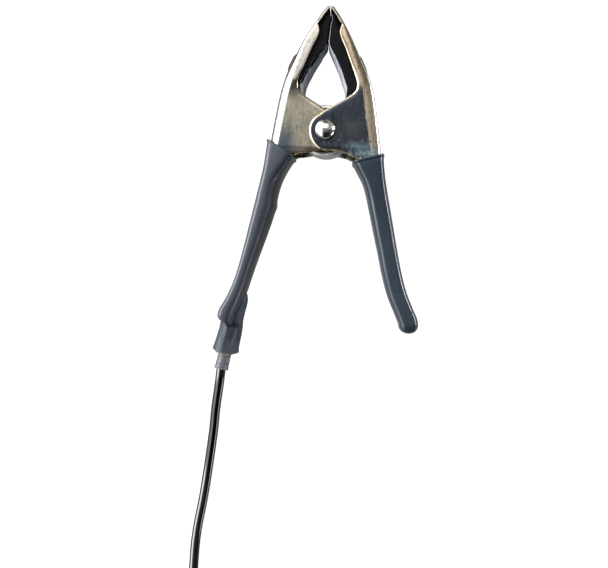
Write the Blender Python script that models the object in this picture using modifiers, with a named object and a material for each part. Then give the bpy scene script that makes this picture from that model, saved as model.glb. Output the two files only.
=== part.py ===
"""Alligator clip lead: an A-frame spring clip of two stamped steel levers, with one test lead.

The clip lies flat on its side. +Z is the pivot's axis, +Y runs from the pivot to the jaw tips and
+X is the side of the outer lever. The origin is on the pivot's axis, on the flat end of the rivet
that the clip lies on. Lengths below are in millimetres, and MM turns them into metres.
"""

import math

import bmesh
import bpy
import numpy as np
from mathutils import Matrix, Vector

MM = 0.001
GAP = 0.3

# Sheet steel and the heights of the clip's middle plane
SHEET = 1.3
BEND = 4.0
TIP_BEND = 1.6
TIP_BEND_FROM = 44.0
TIP_BEND_RATE = 0.35
MID = 16.5
OUTER_EAR = 14.0
INNER_EAR = OUTER_EAR - SHEET - GAP
TIP_HALF_WIDTH = 11.4
HANDLE_END_HALF_WIDTH = 9.6
JAW_TAPER_FROM = 22.0
HANDLE_TAPER_FROM = -14.0
HANDLE_TAPER_LENGTH = 65.0

# Outer line of the web, as (y, x), from the jaw tip to where the grip starts
TIP_Y = 61.0
WEB_LINE = [(61.0, 1.75), (56.0, 5.3), (50.0, 8.8), (43.5, 12.2), (34.5, 16.5), (25.5, 20.8), (19.5, 22.7),
            (10.5, 24.4), (-7.5, 27.2)]
WEB_BULGE = {1: 0.0, -1: 0.7}
WEB_BULGE_Y = 38.0
WEB_BULGE_REACH = 16.0
WEB_STEP_LENGTH = 6.0
WEB_SLOPE = 0.15
# Edge of the front and rear flange on the open side, down to the ear's round end
FLANGE_EDGE = [(52.0, 5.9), (49.0, 5.1), (39.7, 8.6), (31.3, 11.9), (25.8, 14.0), (22.8, 14.7), (20.9, 14.6),
               (18.9, 13.5), (16.35, 10.4), (11.9, 3.2), (8.5, -2.1)]
FLANGE_TOP = 52.5
FLANGE_LEAST = 0.3
TIP_FLANGE = 0.1
EAR_RADIUS = 8.0
EAR_CORNER = 1.8
EAR_ROUND_FROM = 7.0
EAR_ROUND_X = -3.9
EAR_BOTTOM = {1: [(-9.4, -3.4), (-10.1, 2.6), (-11.4, 10.1), (-12.7, 13.5), (-13.7, 17.5)],
              -1: [(-9.4, -3.4), (-10.2, 3.3), (-11.6, 10.6), (-12.0, 14.0), (-12.3, 18.4)]}
RIB_HEIGHT = {1: 1.5, -1: 2.0}
RIB_TOP = 40.4
RIB_FULL = 37.5
RIB_FADE = 26.0
RIB_FADE_LENGTH = 8.0
RIB_FLAT = 2.4
RIB_FOOT = 4.4

# Grip: its outer and inner lines, as (y, x)
GRIP_OUTER = [(-4.0, 28.5), (-16.5, 30.0), (-26.5, 31.9), (-36.5, 34.0), (-46.5, 36.1), (-56.5, 38.2), (-66.3, 40.4),
              (-76.3, 43.2), (-86.2, 47.3), (-91.0, 49.6), (-94.1, 50.3)]
GRIP_INNER = {1: [(-12.0, 12.3), (-19.5, 16.4), (-24.5, 19.1), (-29.5, 20.8), (-39.6, 23.3), (-49.7, 25.7),
                  (-59.8, 28.2), (-69.9, 30.6), (-80.0, 33.6), (-90.0, 38.0), (-95.0, 40.2)],
              -1: [(-12.6, 14.0), (-15.7, 16.4), (-21.0, 19.2), (-26.1, 21.1), (-31.3, 22.4), (-41.5, 24.2),
                   (-51.8, 27.2), (-62.2, 30.6), (-72.5, 33.8), (-80.0, 36.0), (-90.0, 39.6), (-93.0, 41.0)]}
GRIP_TRIM = {1: 0.7, -1: 0.0}
GRIP_TRIM_LENGTH = 20.0
GRIP_WALL = 1.3
GRIP_SPACE = GRIP_WALL + GAP
GRIP_RIM = {1: (-10.6, 4.3), -1: (-5.1, 8.5)}
GRIP_DOME = {1: (-94.3, 4.3), -1: (-93.0, 4.8)}
GRIP_STRAIGHT_FROM = -45.0
LEVER_END = {1: -90.5, -1: -89.0}
GRIP_INNER_CORNER = 2.6
FLANGE_INSET = 3.6

# Rubber jaw pads
PAD_FACE = {1: [(59.3, 0.15), (43.5, 0.15), (38.5, 1.3), (35.5, 2.5), (29.5, 5.3), (24.5, 7.1), (20.5, 8.5),
                (14.5, 8.9)],
            -1: [(59.3, 0.15), (42.8, 0.15), (37.6, 2.8), (29.1, 7.5), (20.5, 10.9), (14.5, 11.3)]}
PAD_SETBACK = 2.0
PAD_CORNER = 3.0

# Pivot
RIVET_SHANK = 3.0
RIVET_CLEARANCE = 0.15
RIVET_DOME = 5.15
RIVET_DOME_HEIGHT = 3.6
RIVET_TAIL = 4.6
BUSH_RADIUS = 6.0

# Torsion spring
WIRE = 2.6
COIL_RADIUS = 11.6
COIL_PITCH = 2.95
COIL_WHOLE_TURNS = 5
LEG_ANGLE = math.radians(26.0)
LEG_LENGTH = 38.5
SPRING_POINTS_A_TURN = 16

# Terminal inside the left handle
TERMINAL_Y = -37.0
TERMINAL_PLATE = 0.8
TERMINAL_RING = 3.6
TERMINAL_HOLE = 1.6
BARREL_RADIUS = 1.7
BARREL_BORE = 1.2
BARREL_START = 5.0
BARREL_LENGTH = 7.0

# Lead
CABLE = 4.8
INNER_WIRE = 3.0
CONDUCTOR = 1.8
SLEEVE_STATIONS = [(-39.0, -82.0, 2.6, 3.6), (-39.2, -85.5, 3.4, 4.6), (-41.6, -91.5, 4.6, 5.4),
                   (-43.3, -96.0, 5.6, 5.7), (-44.0, -101.0, 5.9, 5.9), (-45.4, -107.5, 6.2, 6.2),
                   (-45.95, -110.4, 6.4, 6.4)]
SLEEVE_WALL = 0.8
TUBE_RADIUS = 3.6
TUBE_BORE = CABLE / 2 + GAP
TUBE_TOP = (-44.1, -101.0)
TUBE_BOTTOM = (-47.95, -120.3)
# Inner wire, down the left handle from the terminal to the end of the cable's sheath
HANDLE_ROUTE = [(-32.5, -56.5), (-34.1, -62.0), (-35.6, -67.0), (-37.2, -73.0), (-38.8, -78.0), (-39.0, -82.0),
                (-39.4, -86.0), (-41.0, -91.0), (-42.6, -95.5), (-43.7, -99.4)]
# Free cable, from inside the tube to the coil, as (x, y, height)
RUN_ROUTE = [(-43.8, -99.8, 16.5), (-44.8, -104.5, 16.5), (-46.0, -110.7, 16.5), (-47.0, -115.5, 16.5),
             (-47.95, -120.3, 16.5), (-48.5, -126.5, 15.9), (-49.4, -133.5, 14.2), (-50.4, -141.0, 11.6),
             (-51.3, -151.0, 8.0), (-52.6, -161.5, 4.9), (-53.9, -172.0, 3.1), (-55.1, -182.0, 2.45),
             (-56.5, -192.0, 2.4), (-58.0, -201.0, 2.4), (-59.0, -210.0, 2.4), (-59.4, -219.0, 2.5),
             (-59.5, -230.0, 3.0), (-59.45, -240.0, 3.4)]
COIL_CENTRE = (-26.4, -264.0)
COIL_OUTER_TURN = 33.0
COIL_LAYER_TURNS = 2.75
COIL_LAYERS = 2
COIL_SPACING = 4.9
TIE_THICKNESS = 0.8
COIL_BOTTOM = TIE_THICKNESS + GAP
TIE_WIDTH = 7.0
TIE_ANGLE = math.radians(15.0)
TAIL_ROUTE = [(-7.2, -296.6, 8.0), (-1.0, -295.8, 7.6), (5.0, -294.4, 7.1), (11.0, -292.3, 6.6),
              (16.5, -290.0, 6.2), (21.0, -287.9, 6.0)]

# Banana plug, from its cable end along its own axis
PLUG_ANGLE = math.radians(25.0)
PLUG_HEIGHT = 6.0
BOOT_LENGTH = 15.0
BOOT_SMALL = 3.6
BOOT_LARGE = 4.7
BODY_LENGTH = 27.0
BODY_RADIUS = 5.6
BODY_RIBS = 5
PIN_RADIUS = 1.55
PIN_LENGTH = 19.0
PIN_NOSE = 2.0
PIN_COLLAR = 2.0
CAGE_RADIUS = 2.0
CAGE_START = 3.5
CAGE_LENGTH = 11.5
CUP_DEPTH = 9.0

STEEL = (0.62, 0.58, 0.50)
GRIP_COLOUR = (0.06, 0.075, 0.095)
RUBBER = (0.012, 0.012, 0.014)


def clear_scene():
    for obj in list(bpy.data.objects):
        bpy.data.objects.remove(obj, do_unlink=True)


def new_collection(name):
    collection = bpy.data.collections.new(name)
    bpy.context.scene.collection.children.link(collection)
    return collection


def material(name, colour, metallic=0.0, roughness=0.5):
    made = bpy.data.materials.new(name)
    made.use_nodes = True
    shader = made.node_tree.nodes["Principled BSDF"]
    shader.inputs["Base Color"].default_value = (*colour, 1.0)
    shader.inputs["Metallic"].default_value = metallic
    shader.inputs["Roughness"].default_value = roughness
    made.diffuse_color = (*colour, 1.0)
    return made


def add_mesh(name, mesh, collection, made_of=None, smooth=True):
    obj = bpy.data.objects.new(name, mesh)
    collection.objects.link(obj)
    if made_of:
        mesh.materials.append(made_of)
    if smooth:
        mesh.shade_smooth()
        mesh.set_sharp_from_angle(angle=math.radians(35.0))
    return obj


def line_at(points, y):
    """The x of a smooth line at y: a cubic through the points, with no overshoot between them."""
    ys = np.array([p[0] for p in points], float)[::-1]
    xs = np.array([p[1] for p in points], float)[::-1]
    if ys[0] > ys[-1]:
        ys, xs = ys[::-1], xs[::-1]
    y = min(max(y, ys[0]), ys[-1])
    steps = np.diff(ys)
    slopes = np.diff(xs) / steps
    same_way = slopes[1:] * slopes[:-1] > 0
    mean = 2 * slopes[1:] * slopes[:-1] / np.where(same_way, slopes[1:] + slopes[:-1], 1.0)
    inner = np.where(same_way, mean, 0.0)
    ends = np.concatenate([[slopes[0]], inner, [slopes[-1]]])
    i = int(min(np.searchsorted(ys, y, side="right") - 1, len(steps) - 1))
    t = (y - ys[i]) / steps[i]
    rise = xs[i] * (1 + 2 * t) * (1 - t) ** 2 + xs[i + 1] * t * t * (3 - 2 * t)
    return float(rise + steps[i] * (ends[i] * t * (1 - t) ** 2 + ends[i + 1] * t * t * (t - 1)))


def loft(rings, closed_ring=False, start_cap=False, end_cap=False):
    """A mesh of faces between rings of points, with equal counts."""
    count = len(rings[0])
    across = count if closed_ring else count - 1
    points = [tuple(value * MM for value in point) for ring in rings for point in ring]
    faces = []
    for row in range(len(rings) - 1):
        for column in range(across):
            after = (column + 1) % count
            low = row * count
            high = low + count
            faces.append((low + column, low + after, high + after, high + column))
    if start_cap:
        faces.append(tuple(reversed(range(count))))
    if end_cap:
        faces.append(tuple(range(len(points) - count, len(points))))
    mesh = bpy.data.meshes.new("loft")
    mesh.from_pydata(points, [], faces)
    return mesh


def face_outwards(mesh):
    """Turns the faces outwards, also those of a tube or a channel that is open."""
    edit = bmesh.new()
    edit.from_mesh(mesh)
    bmesh.ops.recalc_face_normals(edit, faces=edit.faces)
    middle = sum((vertex.co for vertex in edit.verts), Vector()) / len(edit.verts)
    outward = sum(face.calc_area() * face.normal.dot(face.calc_center_median() - middle) for face in edit.faces)
    if outward < 0:
        bmesh.ops.reverse_faces(edit, faces=edit.faces)
    edit.to_mesh(mesh)
    edit.free()


def solidify(obj, thickness):
    shell = obj.modifiers.new("wall", "SOLIDIFY")
    shell.thickness = thickness * MM
    shell.offset = -1.0
    shell.use_even_offset = True
    shell.use_quality_normals = True


def cut(obj, cutter):
    boolean = obj.modifiers.new("cut_" + cutter.name, "BOOLEAN")
    boolean.operation = "DIFFERENCE"
    boolean.solver = "EXACT"
    boolean.object = cutter


def join(obj, other):
    boolean = obj.modifiers.new("join_" + other.name, "BOOLEAN")
    boolean.operation = "UNION"
    boolean.solver = "EXACT"
    boolean.object = other


def turned(name, profile, collection, made_of=None, steps=24):
    """A turned piece about its own Z, from a profile of (radius, height) given top to bottom."""
    points = [(radius * MM, 0.0, height * MM) for radius, height in profile]
    mesh = bpy.data.meshes.new(name)
    mesh.from_pydata(points, [(i, i + 1) for i in range(len(points) - 1)], [])
    obj = bpy.data.objects.new(name, mesh)
    collection.objects.link(obj)
    if made_of:
        mesh.materials.append(made_of)
    screw = obj.modifiers.new("turn", "SCREW")
    screw.steps = steps
    screw.render_steps = steps
    screw.use_merge_vertices = True
    screw.merge_threshold = 0.00001
    screw.use_smooth_shade = True
    return obj


def closed_profile(radius_height):
    """A profile of a ring, with its first point again at the end."""
    return radius_height + [radius_height[0]]


def guide(obj):
    obj.hide_render = True
    obj.display_type = "WIRE"
    return obj


def wire(name, points, radius, collection, made_of, resolution=2):
    """A round rod or cable along points in millimetres."""
    data = bpy.data.curves.new(name, "CURVE")
    data.dimensions = "3D"
    data.bevel_depth = radius * MM
    data.bevel_resolution = resolution
    data.use_fill_caps = True
    spline = data.splines.new("POLY")
    spline.points.add(len(points) - 1)
    for knot, point in zip(spline.points, points):
        knot.co = (point[0] * MM, point[1] * MM, point[2] * MM, 1.0)
    data.materials.append(made_of)
    obj = bpy.data.objects.new(name, data)
    collection.objects.link(obj)
    return obj


def smooth_path(route, spacing):
    """Points along a smooth curve through the route's own points, about one spacing apart."""
    knots = [Vector(point) for point in route]
    knots = [2 * knots[0] - knots[1]] + knots + [2 * knots[-1] - knots[-2]]
    path = [knots[1]]
    for before, start, end, after in zip(knots, knots[1:], knots[2:], knots[3:]):
        pieces = max(1, round((end - start).length / spacing))
        for piece in range(1, pieces + 1):
            t = piece / pieces
            leave = (end - before) / 2
            arrive = (after - start) / 2
            bend = (2 * t**3 - 3 * t**2 + 1) * start + (t**3 - 2 * t**2 + t) * leave
            path.append(bend + (3 * t**2 - 2 * t**3) * end + (t**3 - t**2) * arrive)
    return path


def web_x(side, y):
    """Outer face of a lever's web, from the bare jaw down into the grip."""
    if y >= WEB_LINE[-1][0]:
        fuller = max(0.0, 1 - ((y - WEB_BULGE_Y) / WEB_BULGE_REACH) ** 2)
        return line_at(WEB_LINE, y) + WEB_BULGE[side] * fuller
    start = WEB_LINE[-1][0]
    in_grip = grip_outer(side, y) - GRIP_SPACE
    part = min(1.0, (start - y) / WEB_STEP_LENGTH)
    straight_on = line_at(WEB_LINE, start) + WEB_SLOPE * (start - y)
    return (1 - part) * min(straight_on, in_grip) + part * in_grip


def grip_outer(side, y):
    return line_at(GRIP_OUTER, y) - GRIP_TRIM[side] * min(1.0, (GRIP_OUTER[0][0] - y) / GRIP_TRIM_LENGTH)


def edge_x(side, y):
    """Open edge of a lever's flanges: the jaw's edge, the ear's round end, its lower edge, the handle's edge."""
    bottom = EAR_BOTTOM[side]
    if y >= FLANGE_EDGE[-1][0]:
        return line_at(FLANGE_EDGE, y)
    if y > bottom[0][0]:
        if y >= EAR_ROUND_FROM:
            return line_at([FLANGE_EDGE[-1], (EAR_ROUND_FROM, EAR_ROUND_X)], y)
        wide = EAR_RADIUS + EAR_CORNER * max(0.0, y / bottom[0][0]) ** 2
        return -math.sqrt(max(wide * wide - y * y, 0.0))
    if y >= bottom[-1][0]:
        return line_at(bottom, y)
    inside = line_at(GRIP_INNER[side], y) + FLANGE_INSET
    return max(inside, bottom[-1][1])


def half_width(side, y):
    """Half the channel's depth: widest at the ears, narrower at the tip and the handle's end."""
    ear = OUTER_EAR if side > 0 else INNER_EAR
    if y > JAW_TAPER_FROM:
        part = (y - JAW_TAPER_FROM) / (TIP_Y - JAW_TAPER_FROM)
        return ear + (TIP_HALF_WIDTH - ear) * part
    if y < HANDLE_TAPER_FROM:
        part = min(1.0, (HANDLE_TAPER_FROM - y) / HANDLE_TAPER_LENGTH)
        return ear + (HANDLE_END_HALF_WIDTH - ear) * part
    return ear


def rib_at(side, y):
    if y >= RIB_TOP or y <= RIB_FADE:
        return 0.0
    return RIB_HEIGHT[side] * min(1.0, (RIB_TOP - y) / (RIB_TOP - RIB_FULL), (y - RIB_FADE) / RIB_FADE_LENGTH)


def lever_heights():
    return np.concatenate([
        np.linspace(TIP_Y, 53.5, 4), [52.0, 50.6, 48.5, 45.0, 42.0, RIB_TOP, RIB_FULL, 34.0, 30.0, RIB_FADE],
        np.linspace(23.5, 8.5, 9), np.linspace(7.0, -7.4, 9), [-8.6, -9.4, -10.2, -11.0],
        [-11.9, -12.4, -12.9, -13.5, -14.2, -16.5, -21.0], np.linspace(-28.0, -74.0, 6), [-80.0, -86.3]])


def lever_ring(side, y):
    """The outer face of the channel's section at one y, from the front flange's edge to the rear one's."""
    x = web_x(side, y)
    bend = max(TIP_BEND, BEND - max(0.0, y - TIP_BEND_FROM) * TIP_BEND_RATE)
    edge = min(edge_x(side, y), x - bend - FLANGE_LEAST) if y < FLANGE_TOP else x - bend - TIP_FLANGE
    wide = half_width(side, y)
    rib = rib_at(side, y)
    front = [(edge, wide), (x - bend, wide)]
    for step in (1, 2):
        angle = math.radians(30.0 * step)
        front.append((x - bend + bend * math.sin(angle), wide - bend + bend * math.cos(angle)))
    front += [(x, wide - bend), (x, RIB_FOOT), (x + rib, RIB_FLAT)]
    section = front + [(px, -pz) for px, pz in reversed(front)]
    return [(side * px, y, MID + pz) for px, pz in section]


def lever(name, side, collection, made_of):
    heights = list(lever_heights()) + [LEVER_END[side]]
    mesh = loft([lever_ring(side, float(y)) for y in heights])
    face_outwards(mesh)
    obj = add_mesh(name, mesh, collection, made_of)
    solidify(obj, SHEET)
    return obj


def pad_ring(side, y):
    inner = line_at(PAD_FACE[side], y)
    outer = max(web_x(side, y) - PAD_SETBACK, inner + 0.8)
    wide = half_width(-1, y) - SHEET - GAP
    corner = min(PAD_CORNER, (outer - inner) * 0.6)
    half_turn = math.radians(45.0)
    front = [(inner, wide), (outer - corner, wide)]
    front.append((outer - corner * (1 - math.sin(half_turn)), wide - corner * (1 - math.cos(half_turn))))
    front.append((outer, wide - corner))
    section = front + [(px, -pz) for px, pz in reversed(front)]
    return [(side * px, y, MID + pz) for px, pz in section]


def jaw_pad(name, side, collection, made_of):
    heights = [59.3, 55.0, 51.5, 48.0, 44.5, 41.5, 38.5, 34.0, 29.0, 24.5, 20.5, 17.0, 14.5]
    mesh = loft([pad_ring(side, y) for y in heights], closed_ring=True, start_cap=True, end_cap=True)
    face_outwards(mesh)
    return add_mesh(name, mesh, collection, made_of)


def grip_ring(side, outer_y, shrink=0.0):
    """A ring round the grip: across from its outer to its inner line, with rounded corners."""
    rim, slant = GRIP_RIM[side]
    decay = max(0.0, (GRIP_STRAIGHT_FROM - outer_y) / (GRIP_STRAIGHT_FROM - rim))
    inner_y = outer_y - slant * decay
    dome_y, dome = GRIP_DOME[side]
    wide = half_width(side, outer_y) + GRIP_SPACE
    outer_x = grip_outer(side, outer_y)
    inner_x = line_at(GRIP_INNER[side], inner_y)
    if shrink:
        middle = (outer_x + inner_x) / 2
        reach = (outer_x - inner_x) / 2 * math.cos(shrink)
        outer_x, inner_x = middle + reach, middle - reach
        wide -= dome * (1 - math.cos(shrink))
        outer_y = dome_y - dome * math.sin(shrink)
        inner_y = outer_y
    thick = outer_x - inner_x
    corner_out = min(BEND + GRIP_SPACE, thick * 0.5)
    corner_in = min(GRIP_INNER_CORNER, thick * 0.4)
    front = []
    for step in range(3):
        angle = math.radians(45.0 * step)
        front.append((corner_in * (1 - math.cos(angle)), wide - corner_in * (1 - math.sin(angle))))
    for step in range(4):
        angle = math.radians(30.0 * step)
        front.append((thick - corner_out * (1 - math.sin(angle)), wide - corner_out * (1 - math.cos(angle))))
    section = front + [(px, -pz) for px, pz in reversed(front)]
    ring = []
    for across, z in section:
        part = across / thick
        y = inner_y + (outer_y - inner_y) * part
        ring.append((side * (inner_x + across), y, MID + z))
    return ring


def grip(name, side, collection, made_of):
    rim = GRIP_RIM[side][0]
    dome_y = GRIP_DOME[side][0]
    heights = list(np.linspace(rim, GRIP_STRAIGHT_FROM, 6))
    heights += [-52.0, -59.0, -66.0, -72.0, -78.0, -83.0, -87.5, -91.0, dome_y]
    rings = [grip_ring(side, float(y)) for y in heights]
    rings += [grip_ring(side, dome_y, math.radians(angle)) for angle in (25.0, 45.0, 62.0, 76.0)]
    mesh = loft(rings, closed_ring=True, end_cap=True)
    face_outwards(mesh)
    obj = add_mesh(name, mesh, collection, made_of)
    solidify(obj, GRIP_WALL)
    return obj


def cylinder(name, radius, start, end, collection, made_of=None, sides=32):
    """A round rod between two points, in millimetres."""
    start = Vector(start)
    along = Vector(end) - start
    edit = bmesh.new()
    bmesh.ops.create_cone(edit, cap_ends=True, segments=sides, radius1=radius * MM, radius2=radius * MM,
                          depth=along.length * MM)
    mesh = bpy.data.meshes.new(name)
    edit.to_mesh(mesh)
    edit.free()
    obj = add_mesh(name, mesh, collection, made_of)
    obj.location = (start + along / 2) * MM
    obj.rotation_euler = along.to_track_quat("Z", "Y").to_euler()
    return obj


def pivot_pieces(collection, steel):
    """The rivet, with a domed front head and a flat tail, and the bush that keeps the ears apart."""
    front = MID + OUTER_EAR + GAP
    rear = MID - OUTER_EAR - GAP
    dome = [(RIVET_DOME * math.cos(math.radians(a)), front + RIVET_DOME_HEIGHT * math.sin(math.radians(a)))
            for a in (90, 70, 50, 32, 16, 0)]
    dome[0] = (0.0, front + RIVET_DOME_HEIGHT)
    profile = dome + [(RIVET_SHANK, front), (RIVET_SHANK, rear), (RIVET_TAIL, rear), (RIVET_TAIL, 0.5),
                      (RIVET_TAIL - 0.5, 0.0), (0.0, 0.0)]
    turned("pivot_rivet", profile, collection, steel, steps=32)
    reach = INNER_EAR - SHEET - GAP
    bore = RIVET_SHANK + RIVET_CLEARANCE
    ring = [(BUSH_RADIUS, MID + reach), (BUSH_RADIUS, MID - reach), (bore, MID - reach), (bore, MID + reach)]
    turned("spring_bush", closed_profile(ring), collection, steel, steps=32)


def spring_path():
    """From the left leg's end, clockwise round the coil from its rear to its front, to the right leg's end."""
    start = math.pi - LEG_ANGLE
    sweep = 2 * math.pi * COIL_WHOLE_TURNS + math.pi - 2 * LEG_ANGLE
    rise = COIL_PITCH * sweep / (2 * math.pi)
    low = MID - rise / 2
    leg = Vector((-math.sin(LEG_ANGLE), -math.cos(LEG_ANGLE), 0.0)) * LEG_LENGTH
    steps = round(sweep / (2 * math.pi) * SPRING_POINTS_A_TURN)
    coil = []
    for step in range(steps + 1):
        angle = start - sweep * step / steps
        height = low + rise * step / steps
        coil.append(Vector((COIL_RADIUS * math.cos(angle), COIL_RADIUS * math.sin(angle), height)))
    right_leg = Vector((-leg.x, leg.y, 0.0))
    return [coil[0] + leg] + coil + [coil[-1] + right_leg]


def terminal_place():
    """Where the ring terminal sits: the web's inner face, the way down the web, and the way off it."""
    lower = -(web_x(-1, TERMINAL_Y - 6.0))
    upper = -(web_x(-1, TERMINAL_Y + 6.0))
    down = Vector((lower - upper, -12.0, 0.0)).normalized()
    off = Vector((-down.y, down.x, 0.0))
    place = Vector((-web_x(-1, TERMINAL_Y), TERMINAL_Y, MID))
    return place, down, off


def terminal_pieces(collection, cutters, steel, tin, copper):
    """A crimped ring terminal on the left handle's web, its flush rivet and the bare conductor end."""
    place, down, off = terminal_place()
    base = place + off * (SHEET + GAP)
    plate = cylinder("ring_terminal", TERMINAL_RING, base, base + off * TERMINAL_PLATE, collection, tin)
    reach = off * (TERMINAL_PLATE + BARREL_RADIUS - 0.35)
    barrel = cylinder("barrel", BARREL_RADIUS, base + reach + down * BARREL_START,
                      base + reach + down * (BARREL_START + BARREL_LENGTH), cutters)
    strip = bmesh.new()
    bmesh.ops.create_cube(strip, size=1.0)
    size = Vector((TERMINAL_PLATE, BARREL_START + 3.0, 3.4))
    for vertex in strip.verts:
        vertex.co = Vector((vertex.co.x * size.x, vertex.co.y * size.y, vertex.co.z * size.z)) * MM
    mesh = bpy.data.meshes.new("tongue")
    strip.to_mesh(mesh)
    strip.free()
    tongue = add_mesh("tongue", mesh, cutters)
    turn = Matrix((off, -down, Vector((0, 0, 1)))).transposed()
    tongue.rotation_euler = turn.to_euler()
    tongue.location = (base + off * TERMINAL_PLATE / 2 + down * size.y / 2) * MM
    bore = cylinder("barrel_bore", BARREL_BORE, base + reach + down * (BARREL_START - 2.0),
                    base + reach + down * (BARREL_START + BARREL_LENGTH + 2.0), cutters)
    hole = cylinder("terminal_hole", TERMINAL_HOLE, base - off * 3.0, base + off * 3.0, cutters)
    for helper in (guide(barrel), guide(tongue)):
        join(plate, helper)
    cut(plate, guide(bore))
    cut(plate, guide(hole))
    shank = TERMINAL_HOLE - GAP
    bottom = SHEET + GAP + TERMINAL_PLATE + GAP
    profile = [(0.0, bottom + 1.0), (1.6, bottom + 0.8), (2.3, bottom + 0.3), (2.3, bottom), (shank, bottom),
               (shank, 0.9), (shank + 0.85, 0.05), (0.0, 0.05)]
    rivet = turned("terminal_rivet", profile, collection, steel, steps=16)
    rivet.location = place * MM
    rivet.rotation_euler = off.to_track_quat("Z", "Y").to_euler()
    countersink = [(0.0, 4.0), (TERMINAL_HOLE, 4.0), (TERMINAL_HOLE, 0.85), (TERMINAL_HOLE + 1.7, -0.85), (0.0, -0.85)]
    sink = turned("terminal_sink", countersink, cutters, steps=16)
    sink.location = rivet.location
    sink.rotation_euler = rivet.rotation_euler
    start = base + reach + down * (BARREL_START + 0.8)
    end = base + reach + down * (BARREL_START + BARREL_LENGTH + 1.6)
    cylinder("conductor_end", CONDUCTOR / 2, start, end, collection, copper, sides=12)
    return guide(sink), end + down * GAP, down


def sleeve_surface(widen):
    """Oval rings down the entry sleeve, each square to the sleeve's own line."""
    rings = []
    stations = SLEEVE_STATIONS
    for index, (x, y, half_x, half_z) in enumerate(stations):
        before = stations[max(index - 1, 0)]
        after = stations[min(index + 1, len(stations) - 1)]
        along = Vector((after[0] - before[0], after[1] - before[1], 0.0)).normalized()
        across = Vector((-along.y, along.x, 0.0))
        ring = []
        for step in range(16):
            angle = 2 * math.pi * step / 16
            point = Vector((x, y, MID)) + across * (half_x + widen) * math.cos(angle)
            point.z += (half_z + widen) * math.sin(angle)
            ring.append(point)
        rings.append(ring)
    return rings


def entry_sleeve(collection, cutters, made_of):
    mesh = loft(sleeve_surface(0.0), closed_ring=True)
    face_outwards(mesh)
    obj = add_mesh("entry_sleeve", mesh, collection, made_of)
    solidify(obj, SLEEVE_WALL)
    rings = sleeve_surface(GAP)
    top = [point + Vector((0.45, 2.2, 0.0)) for point in rings[0]]
    bottom = [point + Vector((-0.5, -4.0, 0.0)) for point in rings[-1]]
    cutter_mesh = loft([top] + rings + [bottom], closed_ring=True, start_cap=True, end_cap=True)
    face_outwards(cutter_mesh)
    return guide(add_mesh("sleeve_space", cutter_mesh, cutters))


def strain_tube(collection, made_of):
    """The short soft tube between the sleeve and the cable, with its cable bore."""
    top = Vector((*TUBE_TOP, MID))
    bottom = Vector((*TUBE_BOTTOM, MID))
    length = (bottom - top).length
    ring = [(TUBE_RADIUS, length), (TUBE_RADIUS, 0.0), (TUBE_BORE, 0.0), (TUBE_BORE, length)]
    obj = turned("strain_tube", closed_profile(ring), collection, made_of, steps=20)
    obj.location = bottom * MM
    obj.rotation_euler = (top - bottom).to_track_quat("Z", "Y").to_euler()


def lead(collection, cutters, black, tie_colour, cable_start, start_way):
    """The wire in the handle, the free run, the tied coil, its tie and the tail to the plug."""
    first = [tuple(cable_start), tuple(cable_start + start_way * 2.5)]
    inside = first + [(x, y, MID) for x, y in HANDLE_ROUTE]
    wire("inner_wire", smooth_path(inside, 5.0), INNER_WIRE / 2, collection, black)
    wire("cable_run", smooth_path(RUN_ROUTE, 5.0), CABLE / 2, collection, black)
    wire("cable_tail", smooth_path(TAIL_ROUTE, 6.0), CABLE / 2, collection, black)
    inner_turn = COIL_OUTER_TURN - COIL_LAYER_TURNS * COIL_SPACING
    outer = COIL_OUTER_TURN + CABLE / 2 + 0.1
    inner = inner_turn - CABLE / 2 - 0.1
    height = COIL_LAYERS * COIL_SPACING
    section = [(outer, height), (outer, 0.0), (inner, 0.0), (inner, height)]
    coil = turned("cable_coil", closed_profile(section), collection, black, steps=40)
    coil.location = (COIL_CENTRE[0] * MM, COIL_CENTRE[1] * MM, COIL_BOTTOM * MM)
    band = bmesh.new()
    bmesh.ops.create_cube(band, size=1.0)
    depth = outer - inner + 2 * (GAP + TIE_THICKNESS)
    tall = height + 2 * (GAP + TIE_THICKNESS)
    for vertex in band.verts:
        vertex.co = Vector((vertex.co.x * depth, vertex.co.y * TIE_WIDTH, vertex.co.z * tall)) * MM
    mesh = bpy.data.meshes.new("coil_tie")
    band.to_mesh(mesh)
    band.free()
    tie = add_mesh("coil_tie", mesh, collection, tie_colour, smooth=False)
    place = Vector((COIL_CENTRE[0], COIL_CENTRE[1], tall / 2))
    place += Vector((math.cos(TIE_ANGLE), math.sin(TIE_ANGLE), 0.0)) * (outer + inner) / 2
    tie.location = place * MM
    tie.rotation_euler = (0.0, 0.0, TIE_ANGLE)
    space = [(outer + GAP, height + GAP), (outer + GAP, -GAP), (inner - GAP, -GAP), (inner - GAP, height + GAP)]
    cutter = turned("coil_space", closed_profile(space), cutters, steps=80)
    cutter.location = coil.location
    cut(tie, guide(cutter))


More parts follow.
